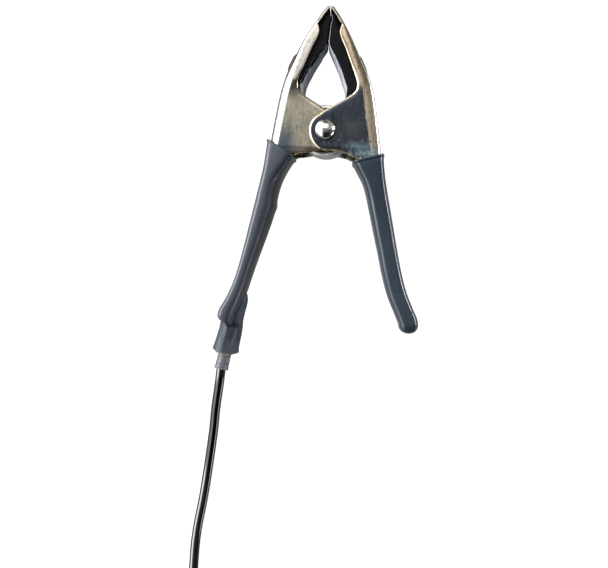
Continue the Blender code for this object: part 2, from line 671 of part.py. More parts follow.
def plug(collection, boot_colour, body_colour, brass, copper):
    """A 4 mm banana plug lying beside the coil: boot, body, pin, sprung cage and the conductor in its cup."""
    root = bpy.data.objects.new("plug_axis", None)
    collection.objects.link(root)
    end = Vector(TAIL_ROUTE[-1])
    way = Vector((math.cos(PLUG_ANGLE), math.sin(PLUG_ANGLE), 0.0))
    root.location = Vector((end.x, end.y, PLUG_HEIGHT)) * MM
    root.rotation_euler = way.to_track_quat("Z", "Y").to_euler()
    boot_start = -6.0
    bore = CABLE / 2 + GAP
    boot_end = boot_start + BOOT_LENGTH
    boot = [(BOOT_LARGE, boot_end)]
    for rib in range(3):
        low = boot_end - 4.0 - 3.0 * rib
        boot += [(BOOT_LARGE, low + 1.4), (BOOT_LARGE - 0.8, low + 1.0), (BOOT_LARGE - 0.8, low + 0.2),
                 (BOOT_LARGE - 0.1 - 0.3 * rib, low - 0.2)]
    boot += [(BOOT_SMALL, boot_start), (bore, boot_start), (bore, boot_end)]
    body_start = boot_end + GAP
    body_end = body_start + BODY_LENGTH
    body = [(BODY_RADIUS - 0.8, body_end), (BODY_RADIUS, body_end - 1.0)]
    for rib in range(BODY_RIBS):
        top = body_end - 6.0 - 3.0 * rib
        body += [(BODY_RADIUS, top), (BODY_RADIUS - 0.7, top - 0.6), (BODY_RADIUS - 0.7, top - 1.2),
                 (BODY_RADIUS, top - 1.8)]
    rear = PIN_COLLAR + GAP
    body += [(BODY_RADIUS, body_start + 2.0), (BODY_RADIUS - 1.0, body_start), (bore, body_start),
             (bore, body_end - 3.0), (rear, body_end - 3.0), (rear, body_end)]
    pin_back = body_end - 3.0 - CUP_DEPTH
    cup = CONDUCTOR / 2 + GAP
    pin_tip = body_end + PIN_LENGTH
    neck = PIN_RADIUS - 0.35
    pin = [(0.0, pin_tip), (0.9, pin_tip - 0.3), (CAGE_RADIUS - 0.15, pin_tip - PIN_NOSE),
           (CAGE_RADIUS - 0.15, body_end + CAGE_START + CAGE_LENGTH + GAP),
           (neck, body_end + CAGE_START + CAGE_LENGTH + GAP), (neck, body_end + CAGE_START - GAP),
           (PIN_COLLAR, body_end + CAGE_START - GAP), (PIN_COLLAR, pin_back), (cup, pin_back),
           (cup, pin_back + CUP_DEPTH - 1.0), (0.0, pin_back + CUP_DEPTH - 1.0)]
    cage = []
    inside = []
    for step in range(9):
        part = step / 8
        radius = PIN_RADIUS + 0.05 + (CAGE_RADIUS - PIN_RADIUS) * math.sin(math.pi * part)
        height = body_end + CAGE_START + CAGE_LENGTH * (1 - part)
        cage.append((radius + 0.2, height))
        inside.append((radius - 0.05, height))
    pieces = {"plug_boot": (closed_profile(boot), boot_colour), "plug_body": (closed_profile(body), body_colour),
              "plug_pin": (pin, brass), "plug_contact_spring": (closed_profile(cage + inside[::-1]), brass)}
    for name, (profile, made_of) in pieces.items():
        turned(name, profile, collection, made_of, steps=20).parent = root
    strands_top = pin_back + CUP_DEPTH - 1.0 - 2 * GAP
    strands = [(0.0, strands_top), (CONDUCTOR / 2, strands_top), (CONDUCTOR / 2, GAP), (0.0, GAP)]
    turned("plug_conductor", strands, collection, copper, steps=12).parent = root


def build():
    clear_scene()
    collection = new_collection("alligator_clip_lead")
    cutters = new_collection("cutters")
    steel = material("plated_steel", STEEL, metallic=1.0, roughness=0.35)
    grip_pvc = material("grip_pvc", GRIP_COLOUR, roughness=0.42)
    rubber = material("jaw_rubber", RUBBER, roughness=0.75)
    polished = material("rivet_steel", (0.80, 0.79, 0.77), metallic=1.0, roughness=0.15)
    spring_wire = material("spring_wire", (0.55, 0.55, 0.56), metallic=1.0, roughness=0.35)
    sleeve_black = material("heat_shrink", (0.05, 0.065, 0.085), roughness=0.5)
    clear_tube = material("clear_tube", (0.62, 0.65, 0.68), roughness=0.3)
    cable_pvc = material("cable_pvc", (0.010, 0.010, 0.013), roughness=0.15)
    tin = material("tinned_brass", (0.72, 0.71, 0.68), metallic=1.0, roughness=0.3)
    copper = material("copper_strands", (0.72, 0.35, 0.18), metallic=1.0, roughness=0.35)
    plug_black = material("plug_plastic", (0.015, 0.015, 0.017), roughness=0.4)
    nickel = material("nickel_brass", (0.75, 0.70, 0.55), metallic=1.0, roughness=0.22)
    tie_colour = material("tie_nylon", (0.05, 0.05, 0.05), roughness=0.6)

    axis = bpy.data.objects.new("pivot_axis", None)
    collection.objects.link(axis)
    hole = RIVET_SHANK + RIVET_CLEARANCE
    pivot_hole = guide(cylinder("pivot_hole", hole, (0, 0, MID - 20), (0, 0, MID + 20), cutters))
    left_lever = lever("left_lever", -1, collection, steel)
    right_lever = lever("right_lever", 1, collection, steel)
    cut(left_lever, pivot_hole)
    cut(right_lever, pivot_hole)
    jaw_pad("left_jaw_pad", -1, collection, rubber)
    right_pad = jaw_pad("right_jaw_pad", 1, collection, rubber)
    left_grip = grip("left_grip", -1, collection, grip_pvc)
    right_grip = grip("right_grip", 1, collection, grip_pvc)
    for moving in (right_lever, right_pad, right_grip):
        moving.parent = axis
    pivot_pieces(collection, polished)
    wire("torsion_spring", spring_path(), WIRE / 2, collection, spring_wire, resolution=1)
    sink, cable_start, start_way = terminal_pieces(collection, cutters, steel, tin, copper)
    cut(left_lever, sink)
    cut(left_grip, entry_sleeve(collection, cutters, sleeve_black))
    strain_tube(collection, clear_tube)
    lead(collection, cutters, cable_pvc, tie_colour, cable_start, start_way)
    plug(collection, plug_black, plug_black, nickel, copper)


build()
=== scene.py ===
"""Looks for the alligator clip lead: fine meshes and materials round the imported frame.

The clip lies flat, seen from straight above. +Y runs to the jaw tips, +X to the outer lever.
Lengths are in millimetres unless a name says otherwise, and MM turns them into metres.
"""

import math

import bmesh
import bpy
import numpy as np
from mathutils import Matrix, Vector


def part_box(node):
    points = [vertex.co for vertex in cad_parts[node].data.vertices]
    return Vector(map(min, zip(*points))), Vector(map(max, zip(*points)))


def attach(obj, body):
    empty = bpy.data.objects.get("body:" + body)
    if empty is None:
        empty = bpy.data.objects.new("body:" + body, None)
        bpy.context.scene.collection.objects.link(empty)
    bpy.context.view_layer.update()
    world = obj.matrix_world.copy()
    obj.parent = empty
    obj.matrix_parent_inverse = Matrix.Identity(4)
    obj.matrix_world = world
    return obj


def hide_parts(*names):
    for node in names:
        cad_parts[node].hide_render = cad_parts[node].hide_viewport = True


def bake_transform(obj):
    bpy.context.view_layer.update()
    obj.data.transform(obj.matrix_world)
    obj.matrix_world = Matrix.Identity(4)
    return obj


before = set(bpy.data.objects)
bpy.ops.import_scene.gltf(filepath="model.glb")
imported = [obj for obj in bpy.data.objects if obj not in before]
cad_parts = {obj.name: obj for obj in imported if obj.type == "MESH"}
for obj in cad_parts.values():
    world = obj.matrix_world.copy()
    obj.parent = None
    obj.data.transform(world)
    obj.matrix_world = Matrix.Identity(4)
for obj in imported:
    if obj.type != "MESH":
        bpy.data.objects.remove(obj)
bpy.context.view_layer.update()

MM = 0.001
LEFT, RIGHT = "left_side", "right_side"
BODY = {-1: LEFT, 1: RIGHT}
SIDE_NAME = {-1: "left", 1: "right"}

# Heights and depth. Where a value differs by side, -1 is the left side and 1 the right
EAR_LOW, EAR_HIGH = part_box("right_lever")
MID = (EAR_LOW.z + EAR_HIGH.z) / 2 / MM
SHEET = 1.3
GAP = 0.3
OUTER_EAR = 14.0
INNER_EAR = OUTER_EAR - SHEET - GAP
TIP_HALF_WIDTH = 11.4
HANDLE_END_HALF_WIDTH = 9.6
JAW_TAPER_FROM = 22.0
HANDLE_TAPER_FROM = -14.0
HANDLE_TAPER_LENGTH = 65.0

# Lever lines, as (y, x), the same as the frame's
TIP_Y = 61.0
WEB_LINE = [(61.0, 1.75), (56.0, 5.3), (50.0, 8.8), (43.5, 12.2), (34.5, 16.5), (25.5, 20.8), (19.5, 22.7),
            (10.5, 24.4), (-7.5, 27.2)]
WEB_BULGE = {1: 0.0, -1: 0.7}
WEB_BULGE_Y = 38.0
WEB_BULGE_REACH = 16.0
WEB_STEP_LENGTH = 6.0
WEB_SLOPE = 0.15
FLANGE_EDGE = [(52.0, 5.9), (49.0, 5.1), (39.7, 8.6), (31.3, 11.9), (25.8, 14.0), (22.8, 14.7), (20.9, 14.6),
               (18.9, 13.5), (16.35, 10.4), (11.9, 3.2), (8.5, -2.1)]
FLANGE_TOP = (52.7, 51.2)
TIP_FLANGE = 0.1
EAR_RADIUS = 8.0
EAR_CORNER = 1.8
EAR_ROUND_FROM = 7.0
EAR_ROUND_X = -3.9
EAR_BOTTOM = {1: [(-9.4, -3.4), (-10.1, 2.6), (-11.4, 10.1), (-12.7, 13.5), (-13.7, 17.5)],
              -1: [(-9.4, -3.4), (-10.2, 3.3), (-11.6, 10.6), (-12.0, 14.0), (-12.3, 18.4)]}
FLANGE_INSET = 3.6
EAR_BEND = {1: 5.6, -1: 4.7}
JAW_BEND_FROM = 24.0
JAW_BEND_FALL = 0.145
TIP_BEND = 1.6
HANDLE_BEND = 4.0
HANDLE_BEND_SPAN = (-6.0, -16.0)
BEND_STEPS = 16
# The right web turns in two arcs: a slow one, then a tight one from this angle and this part of the bend's width
SLOW_BEND = math.radians(25.0)
SLOW_STEPS = 6
TIGHT_PART = 0.36
# The flange's points from its free edge, closer together where the die rolls it, then one just short of the bend
FLANGE_REACHES = (0.0, 0.25, 0.55, 0.9, 1.3, 1.8, 2.6, 4.0)
NARROWEST_FLAT = 4.2
LAST_REACH = 0.97
FLANGE_POINTS = len(FLANGE_REACHES) + 1
LEAST_FLANGE = 0.4
WEB_POINTS = 7
DIE_ROLL_WIDTH = 1.5
DIE_ROLL_DROP = 0.55
# How much of the roll each jaw lacks, and where along it that begins
JAW_ROLL_LACK = {1: 0.0, -1: 0.85}
JAW_ROLL_SPAN = (24.0, 30.0)
RIB_HEIGHT = {1: 1.5, -1: 2.0}
RIB_TOP = 40.4
RIB_FULL = 37.5
RIB_FADE = 26.0
RIB_FADE_TO = 33.5
RIB_FLAT = 1.8
RIB_FOOT = 4.4
RIB_STEPS = 5
FOOT_MARGIN = 0.6
LEVER_END = {1: -90.5, -1: -89.0}

# Grips
GRIP_OUTER = [(-4.0, 28.5), (-16.5, 30.0), (-26.5, 31.9), (-36.5, 34.0), (-46.5, 36.1), (-56.5, 38.2), (-66.3, 40.4),
              (-76.3, 43.2), (-86.2, 47.3), (-91.0, 49.6), (-94.1, 50.3)]
GRIP_INNER = {1: [(-12.0, 12.3), (-19.5, 16.4), (-24.5, 19.1), (-29.5, 20.8), (-39.6, 23.3), (-49.7, 25.7),
                  (-59.8, 28.2), (-69.9, 30.6), (-80.0, 33.6), (-90.0, 38.0), (-95.0, 40.2)],
              -1: [(-12.6, 14.0), (-15.7, 16.4), (-21.0, 19.2), (-26.1, 21.1), (-31.3, 22.4), (-41.5, 24.2),
                   (-51.8, 27.2), (-62.2, 30.6), (-72.5, 33.8), (-80.0, 36.0), (-90.0, 39.6), (-93.0, 41.0)]}
GRIP_TRIM = {1: 0.7, -1: 0.0}
GRIP_TRIM_LENGTH = 20.0
GRIP_WALL = 1.3
GRIP_SPACE = GRIP_WALL + GAP
GRIP_RIM = {1: (-10.6, 4.3), -1: (-5.1, 8.5)}
GRIP_DOME = {1: (-94.3, 4.3), -1: (-93.0, 4.8)}
GRIP_STRAIGHT_FROM = -45.0
GRIP_END_SLANT = {1: 0.0, -1: 2.2}
# How square the grip's section is: at its rim, then on its outer and inner halves once it has settled
GRIP_FULLNESS = {1: (6.5, 4.6, 4.2), -1: (6.0, 3.6, 2.3)}
GRIP_SETTLED = {1: -32.0, -1: -24.0}
# Where across the section, from -1 inside to 1 outside, the grip stands highest
GRIP_CREST = {1: 0.0, -1: 0.3}
# A small hollow on the left grip's inner line, and a swelling on its outer line: how much, where, and how far along
GRIP_HOLLOW = (0.55, -38.2, 2.2)
GRIP_HEEL = (0.45, -90.5, 5.0)
# The rolled bead round the mouth: its height, its middle below the rim, and its half length
GRIP_BEAD = (0.42, 0.65, 0.75)
MOUTH_RINGS = 7
MOUTH_STEP = 0.3
MOUTH_LIP = 0.15
END_ANGLES = (0.5, 8, 16, 24, 32, 40, 48, 56, 63, 70, 76, 82, 86)
# The levers are narrower where the grips hide them
HIDDEN_FROM = -14.0
HIDDEN_AT = -22.0
HIDDEN_NARROWER = 0.2
GRIP_SIDES = 88

# Rubber jaw pads
PAD_FACE = {1: [(59.3, 0.15), (43.5, 0.15), (38.5, 1.3), (35.5, 2.5), (29.5, 5.3), (24.5, 7.1), (20.5, 8.5),
                (14.5, 8.9)],
            -1: [(59.3, 0.15), (42.8, 0.15), (37.6, 2.8), (29.1, 7.5), (20.5, 10.9), (14.5, 11.3)]}
# The gentle S of the line where the two pads meet
PAD_SEAM = [(60.0, 0.0), (58.5, 0.0), (55.5, 0.8), (52.0, 0.15), (49.5, -0.05), (45.5, -0.5), (41.5, -0.55),
            (36.0, 0.0)]
PAD_SEAM_REACH = 3.0
PAD_TIP = 0.4
PAD_TIP_SPAN = (59.6, 58.6)
PAD_SETBACK = 2.0
PAD_CORNER = 3.0
PAD_CROWN = {1: 1.3, -1: 2.9}
PAD_LEAST_CROWN = 0.12
PAD_EDGE = 0.5
PAD_STEPS = 11
# Below this height the pads' inner faces take the lighter face material, and between these heights a strip on the
# right pad's corner: painted light
PAD_LIT_BELOW_M = 0.0425
PAD_LIT_CORNER_M = (0.036, 0.057)

# Pivot
SHANK = 3.0
DOME_RADIUS = 5.15
DOME_HEIGHT = 3.6
DOME_STEPS = 18
TAIL_RADIUS = 4.6
BUSH_RADII = (3.15, 6.0)

# Spring
WIRE = 2.6
COIL_RADIUS = 11.6
COIL_PITCH = 2.95
COIL_WHOLE_TURNS = 5
LEG_ANGLE = math.radians(26.0)
LEG_LENGTH = 38.5
LEG_PARTS = (0.06, 0.2, 0.4, 0.6, 0.8, 1.0)
SPRING_STEP = math.radians(7.5)
SPRING_SIDES = 16
END_SHARE = 0.82
END_LONGER = 0.2

# Lead
CABLE = 4.8
SLEEVE_STATIONS = [(-39.0, -82.0, 2.6, 3.6), (-39.2, -85.5, 3.4, 4.6), (-41.6, -91.5, 4.6, 5.4),
                   (-43.3, -96.0, 5.6, 5.7), (-44.0, -101.0, 5.9, 5.9), (-45.4, -107.5, 6.2, 6.2),
                   (-45.95, -110.4, 6.4, 6.4)]
SLEEVE_WALL = 0.8
SLEEVE_TONGUE = 2.0
SLEEVE_FLARE = 0.3
SLEEVE_ROWS = 64
SLEEVE_SIDES = 56
# The crease: how deep, where across the sleeve, how it leans, and its widths left and right of its line
CREASE_DEPTH = 0.45
CREASE_AT = 0.22
CREASE_LEAN = 0.35
CREASE_LEAN_ABOUT = 0.7
CREASE_WIDTHS = (0.24, 0.6)
LINER_LIP = 0.45
LINER_SHRINK = 0.03
TUBE_RADIUS = 3.6
TUBE_BORE = CABLE / 2 + GAP
TUBE_ROWS = 90
TUBE_SIDES = 36
TUBE_RIB = 0.09
TUBE_RIB_PITCH = 1.6
TUBE_FLARE = 0.35
TUBE_SET_IN = 0.25
TUBE_OVAL = 0.012
TUBE_TOP = (-44.1, -101.0)
TUBE_BOTTOM = (-47.95, -120.3)
RUN_ROUTE = [(-43.8, -99.8, 16.5), (-44.8, -104.5, 16.5), (-46.0, -110.7, 16.5), (-47.0, -115.5, 16.5),
             (-47.95, -120.3, 16.5), (-48.5, -126.5, 15.9), (-49.4, -133.5, 14.2), (-50.4, -141.0, 11.6),
             (-51.3, -151.0, 8.0), (-52.6, -161.5, 4.9), (-53.9, -172.0, 3.1), (-55.1, -182.0, 2.45),
             (-56.5, -192.0, 2.4), (-58.0, -201.0, 2.4), (-59.0, -210.0, 2.4), (-59.4, -219.0, 2.5),
             (-59.5, -230.0, 3.0), (-59.45, -240.0, 3.4)]
TAIL_ROUTE = [(-7.2, -296.6, 8.0), (-1.0, -295.8, 7.6), (5.0, -294.4, 7.1), (11.0, -292.3, 6.6),
              (16.5, -290.0, 6.2), (21.0, -287.9, 6.0)]
COIL_ENTRY = (-59.4, -252.0, 3.5)
COIL_CENTRE = (-26.4, -264.0)
COIL_OUTER_TURN = 33.0
COIL_LAYER_TURNS = 2.75
COIL_CLIMB_TURNS = 0.75
COIL_SPACING = 4.9
COIL_FIRST_HEIGHT = 3.5
COIL_CLIMB_TUCK = 1.2
POINTS_A_TURN = 24
PATH_STEP = 4.0

# Camera: its distance from the front ears, what it looks at, and the clip's lean in the picture
CAMERA_DISTANCE = 600.0
CAMERA_AIM = (-7.5, -76.1, 30.5)
CAMERA_SIDE = 22.5
CAMERA_REACH_M = (0.01, 10.0)
CLIP_LEAN = math.radians(2.29)
VIEW_WIDTH = 297.9
SENSOR = 36.0

# Studio light. Each layer lies over those before it, as its linear colour and then its fades along an axis of the way
# that the light comes from: (axis, none of it here, all of it here)
AMBIENT = (0.09, 0.095, 0.105)
LIGHTS = [
    # a dim fill, a low strip and a bright edge, all on the right
    ((0.40, 0.385, 0.36), ("X", 0.12, 0.30), ("X", 0.86, 0.78), ("Y", 0.00, 0.09)),
    ((9.0, 9.0, 9.0), ("X", 0.74, 0.86), ("Y", -0.29, -0.34), ("Z", -0.05, 0.0), ("Z", 0.20, 0.12)),
    ((34.0, 34.0, 36.0), ("X", 0.80, 0.90), ("Y", 0.12, 0.20), ("Y", 0.46, 0.34), ("Z", -0.02, 0.02),
     ("Z", 0.34, 0.24)),
    # a panel beyond the jaws
    ((2.9, 2.86, 2.8), ("Y", 0.182, 0.215), ("Y", 0.85, 0.55), ("Z", 0.10, 0.35), ("X", 0.45, 0.0)),
    # a wall on the left, and the key in it
    ((2.6, 2.6, 2.6), ("X", -0.24, -0.62), ("Z", 0.02, 0.12), ("Z", 0.97, 0.80)),
    ((11.0, 11.0, 11.0), ("X", -0.55, -0.72), ("Y", -0.25, -0.17), ("Z", 0.10, 0.20), ("Z", 0.75, 0.60)),
    # a dim ceiling, and a dark flag beyond the handles
    ((0.25, 0.26, 0.28), ("Z", 0.93, 0.975), ("Y", 0.275, 0.175)),
    ((0.008, 0.008, 0.010), ("Y", -0.22, -0.42), ("X", -0.50, -0.28), ("X", 0.80, 0.66), ("Z", -0.1, 0.0)),
]
SOFT_PLACE = (-420, -60, 300)
SOFT_AIM = (0, -60, 16)
SOFT_SIZE = (160, 620)
SOFT_WATTS = 0.5
FLOOR_SIZE_M = 60.0
FLOOR_SEEN = 1.0
FLOOR_LIGHT = 0.18
FLOOR_GLOSS = 0.28


def new_object(name, data):
    obj = bpy.data.objects.new(name, data)
    bpy.context.scene.collection.objects.link(obj)
    return obj


def place_camera():
    data = bpy.data.cameras.new("camera")
    data.sensor_width = SENSOR
    data.lens = SENSOR * math.hypot(CAMERA_DISTANCE, CAMERA_SIDE) / VIEW_WIDTH
    data.clip_start, data.clip_end = CAMERA_REACH_M
    camera = new_object("camera", data)
    aim = Vector(CAMERA_AIM)
    seat = aim + Vector((CAMERA_SIDE, 0.0, CAMERA_DISTANCE))
    back = (seat - aim).normalized()
    up = Vector((-math.sin(CLIP_LEAN), math.cos(CLIP_LEAN), 0.0))
    right = up.cross(back).normalized()
    up = back.cross(right)
    camera.matrix_world = Matrix.Translation(seat * MM) @ Matrix((right, up, back)).transposed().to_4x4()
    bpy.context.scene.camera = camera


# ---------------------------------------------------------------- curves and meshes

def smoothstep(low, high, value):
    t = min(max((value - low) / (high - low), 0.0), 1.0)
    return t * t * (3 - 2 * t)


def line_at(points, y):
    """The x of a smooth line at y: a cubic through the points, with no overshoot between them."""
    ys, xs = np.array(sorted(points), float).T
    y = min(max(y, ys[0]), ys[-1])
    steps = np.diff(ys)
    slopes = np.diff(xs) / steps
    same_way = slopes[1:] * slopes[:-1] > 0
    mean = 2 * slopes[1:] * slopes[:-1] / np.where(same_way, slopes[1:] + slopes[:-1], 1.0)
    ends = np.concatenate([[slopes[0]], np.where(same_way, mean, 0.0), [slopes[-1]]])
    i = int(min(np.searchsorted(ys, y, side="right") - 1, len(steps) - 1))
    t = (y - ys[i]) / steps[i]
    rise = xs[i] * (1 + 2 * t) * (1 - t) ** 2 + xs[i + 1] * t * t * (3 - 2 * t)
    return float(rise + steps[i] * (ends[i] * t * (1 - t) ** 2 + ends[i + 1] * t * t * (t - 1)))


def curve_point(before, start, end, after, t):
    """A point between start and end on a smooth curve that also passes through the two points round them."""
    leave = (end - before) / 2
    arrive = (after - start) / 2
    bend = (2 * t**3 - 3 * t**2 + 1) * start + (t**3 - 2 * t**2 + t) * leave
    return bend + (3 * t**2 - 2 * t**3) * end + (t**3 - t**2) * arrive


def smooth_path(route):
    """Points along a smooth curve through the route's own points, about one PATH_STEP apart."""
    knots = [Vector(point) for point in route]
    knots = [2 * knots[0] - knots[1]] + knots + [2 * knots[-1] - knots[-2]]
    path = [knots[1]]
    for before, start, end, after in zip(knots, knots[1:], knots[2:], knots[3:]):
        pieces = max(1, round((end - start).length / PATH_STEP))
        path += [curve_point(before, start, end, after, piece / pieces) for piece in range(1, pieces + 1)]
    return path


def finish_mesh(mesh, look, sharp_from):
    """Gives a mesh its material and smooth shading, with edges left sharp from an angle in degrees."""
    mesh.materials.append(look)
    mesh.shade_smooth()
    mesh.set_sharp_from_angle(angle=math.radians(sharp_from))


def add_piece(name, mesh, body, node, material, sharp_from):
    """Adds a mesh as a piece that rides on a body and stands for a CAD node."""
    obj = new_object(name, mesh)
    finish_mesh(mesh, material, sharp_from)
    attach(obj, body)
    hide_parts(node)
    return obj


def mark_points(mesh, name, values):
    """Stores one number a point, for the materials to read."""
    mesh.attributes.new(name, "FLOAT", "POINT").data.foreach_set("value", values)


def loft(rings, closed_ring=False, start_cap=False, end_cap=False, welded=False):
    """A mesh of faces between rings of points, with equal counts, facing outwards. Welded, it closes on itself."""
    count = len(rings[0])
    across = count if closed_ring else count - 1
    points = [tuple(value * MM for value in point) for ring in rings for point in ring]
    faces = []
    for row in range(len(rings) - 1):
        for column in range(across):
            after = (column + 1) % count
            low = row * count
            high = low + count
            faces.append((low + column, low + after, high + after, high + column))
    if start_cap:
        faces.append(tuple(reversed(range(count))))
    if end_cap:
        faces.append(tuple(range(len(points) - count, len(points))))
    mesh = bpy.data.meshes.new("loft")
    mesh.from_pydata(points, [], faces)
    edit = bmesh.new()
    edit.from_mesh(mesh)
    if welded:
        bmesh.ops.remove_doubles(edit, verts=edit.verts, dist=1e-7)
    bmesh.ops.recalc_face_normals(edit, faces=edit.faces)
    middle = sum((vertex.co for vertex in edit.verts), Vector()) / len(edit.verts)
    outward = sum(face.calc_area() * face.normal.dot(face.calc_center_median() - middle) for face in edit.faces)
    if outward < 0:
        bmesh.ops.reverse_faces(edit, faces=edit.faces)
    edit.to_mesh(mesh)
    edit.free()
    return mesh


def solidify(obj, thickness):
    shell = obj.modifiers.new("wall", "SOLIDIFY")
    shell.thickness = thickness * MM
    shell.offset = -1.0
    shell.use_even_offset = True
    shell.use_quality_normals = True


def bevel(obj, width, angle):
    edge = obj.modifiers.new("edges", "BEVEL")
    edge.width = width * MM
    edge.segments = 2
    edge.limit_method = "ANGLE"
    edge.angle_limit = math.radians(angle)


def turned_mesh(profile, steps):
    """A turned mesh about its own Z, from a profile of (radius, height) given top to bottom."""
    turns = [2 * math.pi * step / steps for step in range(steps)]
    return loft([[(radius * math.cos(turn), radius * math.sin(turn), height) for turn in turns]
                 for radius, height in profile], closed_ring=True, welded=True)


def rounded(profile, radius, steps=4):
    """A closed profile with its corners rounded."""
    out = []
    for before, here, after in zip(profile[-1:] + profile, profile, profile[1:] + profile[:1]):
        here = Vector(here)
        start = here + (Vector(before) - here).normalized() * radius
        end = here + (Vector(after) - here).normalized() * radius
        for step in range(steps + 1):
            t = step / steps
            out.append(tuple(start * (1 - t) ** 2 + here * 2 * t * (1 - t) + end * t * t))
    return out


def tube_along(points, radius_at, sides):
    """Rings round a path, whose radius may vary: radius_at(index, angle)."""
    rings = []
    side = None
    for index, point in enumerate(points):
        before = points[max(index - 1, 0)]
        after = points[min(index + 1, len(points) - 1)]
        along = (after - before).normalized()
        if side is None:
            side = along.orthogonal().normalized()
        side = (side - along * side.dot(along)).normalized()
        other = along.cross(side)
        ring = []
        for step in range(sides):
            angle = 2 * math.pi * step / sides
            ring.append(point + (side * math.cos(angle) + other * math.sin(angle)) * radius_at(index, angle))
        rings.append(ring)
    return rings


# ---------------------------------------------------------------- materials

class Nodes:
    """A node tree, with short calls for the nodes that the looks and the light share. Its colours are linear."""

    def __init__(self, tree, space):
        self.tree = tree
        self.place = self.add("ShaderNodeTexCoord").outputs[space]

    def add(self, kind):
        return self.tree.nodes.new(kind)

    def link(self, output, socket):
        self.tree.links.new(output, socket)

    def paint(self, colour):
        return (*colour, 1.0)

    def feed(self, socket, value):
        """Sets a socket from a number or a colour, or links an output to it."""
        if isinstance(value, (int, float)):
            socket.default_value = value
        elif isinstance(value, tuple):
            socket.default_value = self.paint(value)
        else:
            self.link(value, socket)

    def math(self, kind, first, second):
        node = self.add("ShaderNodeMath")
        node.operation = kind
        self.feed(node.inputs[0], first)
        self.feed(node.inputs[1], second)
        return node.outputs[0]

    def times(self, *values):
        out = values[0]
        for value in values[1:]:
            out = self.math("MULTIPLY", out, value)
        return out

    def plus(self, first, second):
        return self.math("ADD", first, second)

    def mix(self, part, first, second, blend="MIX"):
        node = self.add("ShaderNodeMix")
        node.data_type = "RGBA"
        node.blend_type = blend
        for index, value in ((0, part), (6, first), (7, second)):
            self.feed(node.inputs[index], value)
        return node.outputs[2]

    def axis(self, name):
        node = self.add("ShaderNodeSeparateXYZ")
        self.link(self.place, node.inputs[0])
        return node.outputs[name]

    def span(self, value, low, high, to_low=0.0, to_high=1.0, smooth=True):
        """The value mapped from one span to another, held at its ends."""
        node = self.add("ShaderNodeMapRange")
        node.interpolation_type = "SMOOTHSTEP" if smooth else "LINEAR"
        for socket, bound in (("From Min", low), ("From Max", high), ("To Min", to_low), ("To Max", to_high)):
            node.inputs[socket].default_value = bound
        self.link(value, node.inputs["Value"])
        return node.outputs["Result"]

    def layers(self, base, layers):
        """Lays colours over a base in turn. A layer is (colour, part, ...): its parts are shares or span calls'
        arguments, and they multiply."""
        for colour, *parts in layers:
            shares = [self.span(*part) if isinstance(part, tuple) else part for part in parts]
            base = self.mix(self.times(*shares), base, colour)
        return base


class Look(Nodes):
    """A material in its object's own coordinates. Its colours are as they are seen, from 0 to 255."""

    def __init__(self, name, colour, roughness, metallic=0.0):
        self.made = bpy.data.materials.new(name)
        self.made.use_nodes = True
        super().__init__(self.made.node_tree, "Object")
        self.shader = self.tree.nodes["Principled BSDF"]
        self.set("Base Color", self.paint(colour))
        self.set("Roughness", roughness)
        self.set("Metallic", metallic)

    def set(self, socket, value):
        self.shader.inputs[socket].default_value = value

    def paint(self, colour):
        """A display colour of 0 to 255, or a linear grey of 0 to 1, as linear light."""
        if isinstance(colour, (int, float)):
            return (colour, colour, colour, 1.0)
        parts = [part / 255.0 for part in colour]
        return (*(part / 12.92 if part <= 0.04045 else ((part + 0.055) / 1.055) ** 2.4 for part in parts), 1.0)

    def noise(self, scale, detail=3.0, rough=0.55, along=(1.0, 1.0, 1.0), warp=0.0):
        """Noise whose scale is multiplied by a share along each axis."""
        mapping = self.add("ShaderNodeMapping")
        mapping.inputs["Scale"].default_value = along
        self.link(self.place, mapping.inputs["Vector"])
        node = self.add("ShaderNodeTexNoise")
        for socket, value in (("Scale", scale), ("Detail", detail), ("Roughness", rough), ("Distortion", warp)):
            node.inputs[socket].default_value = value
        self.link(mapping.outputs["Vector"], node.inputs["Vector"])
        return node.outputs["Fac"]

    def ramp(self, value, stops):
        """Colour stops, as (position, colour or grey)."""
        node = self.add("ShaderNodeValToRGB")
        marks = node.color_ramp.elements
        while len(marks) < len(stops):
            marks.new(0.5)
        for mark, (position, colour) in zip(marks, stops):
            mark.position = position
            mark.color = self.paint(colour)
        self.link(value, node.inputs["Fac"])
        return node.outputs["Color"]

    def attribute(self, name):
        node = self.add("ShaderNodeAttribute")
        node.attribute_name = name
        return node.outputs["Fac"]

    def colour(self, output):
        self.link(output, self.shader.inputs["Base Color"])

    def roughness(self, value, full_at, low, high):
        """Roughness from low to high as a noise goes from 0.3 to full_at."""
        self.link(self.span(value, 0.3, full_at, low, high, False), self.shader.inputs["Roughness"])

    def bump(self, height, strength, distance_mm):
        node = self.add("ShaderNodeBump")
        node.inputs["Strength"].default_value = strength
        node.inputs["Distance"].default_value = distance_mm * MM
        self.link(height, node.inputs["Height"])
        self.link(node.outputs["Normal"], self.shader.inputs["Normal"])


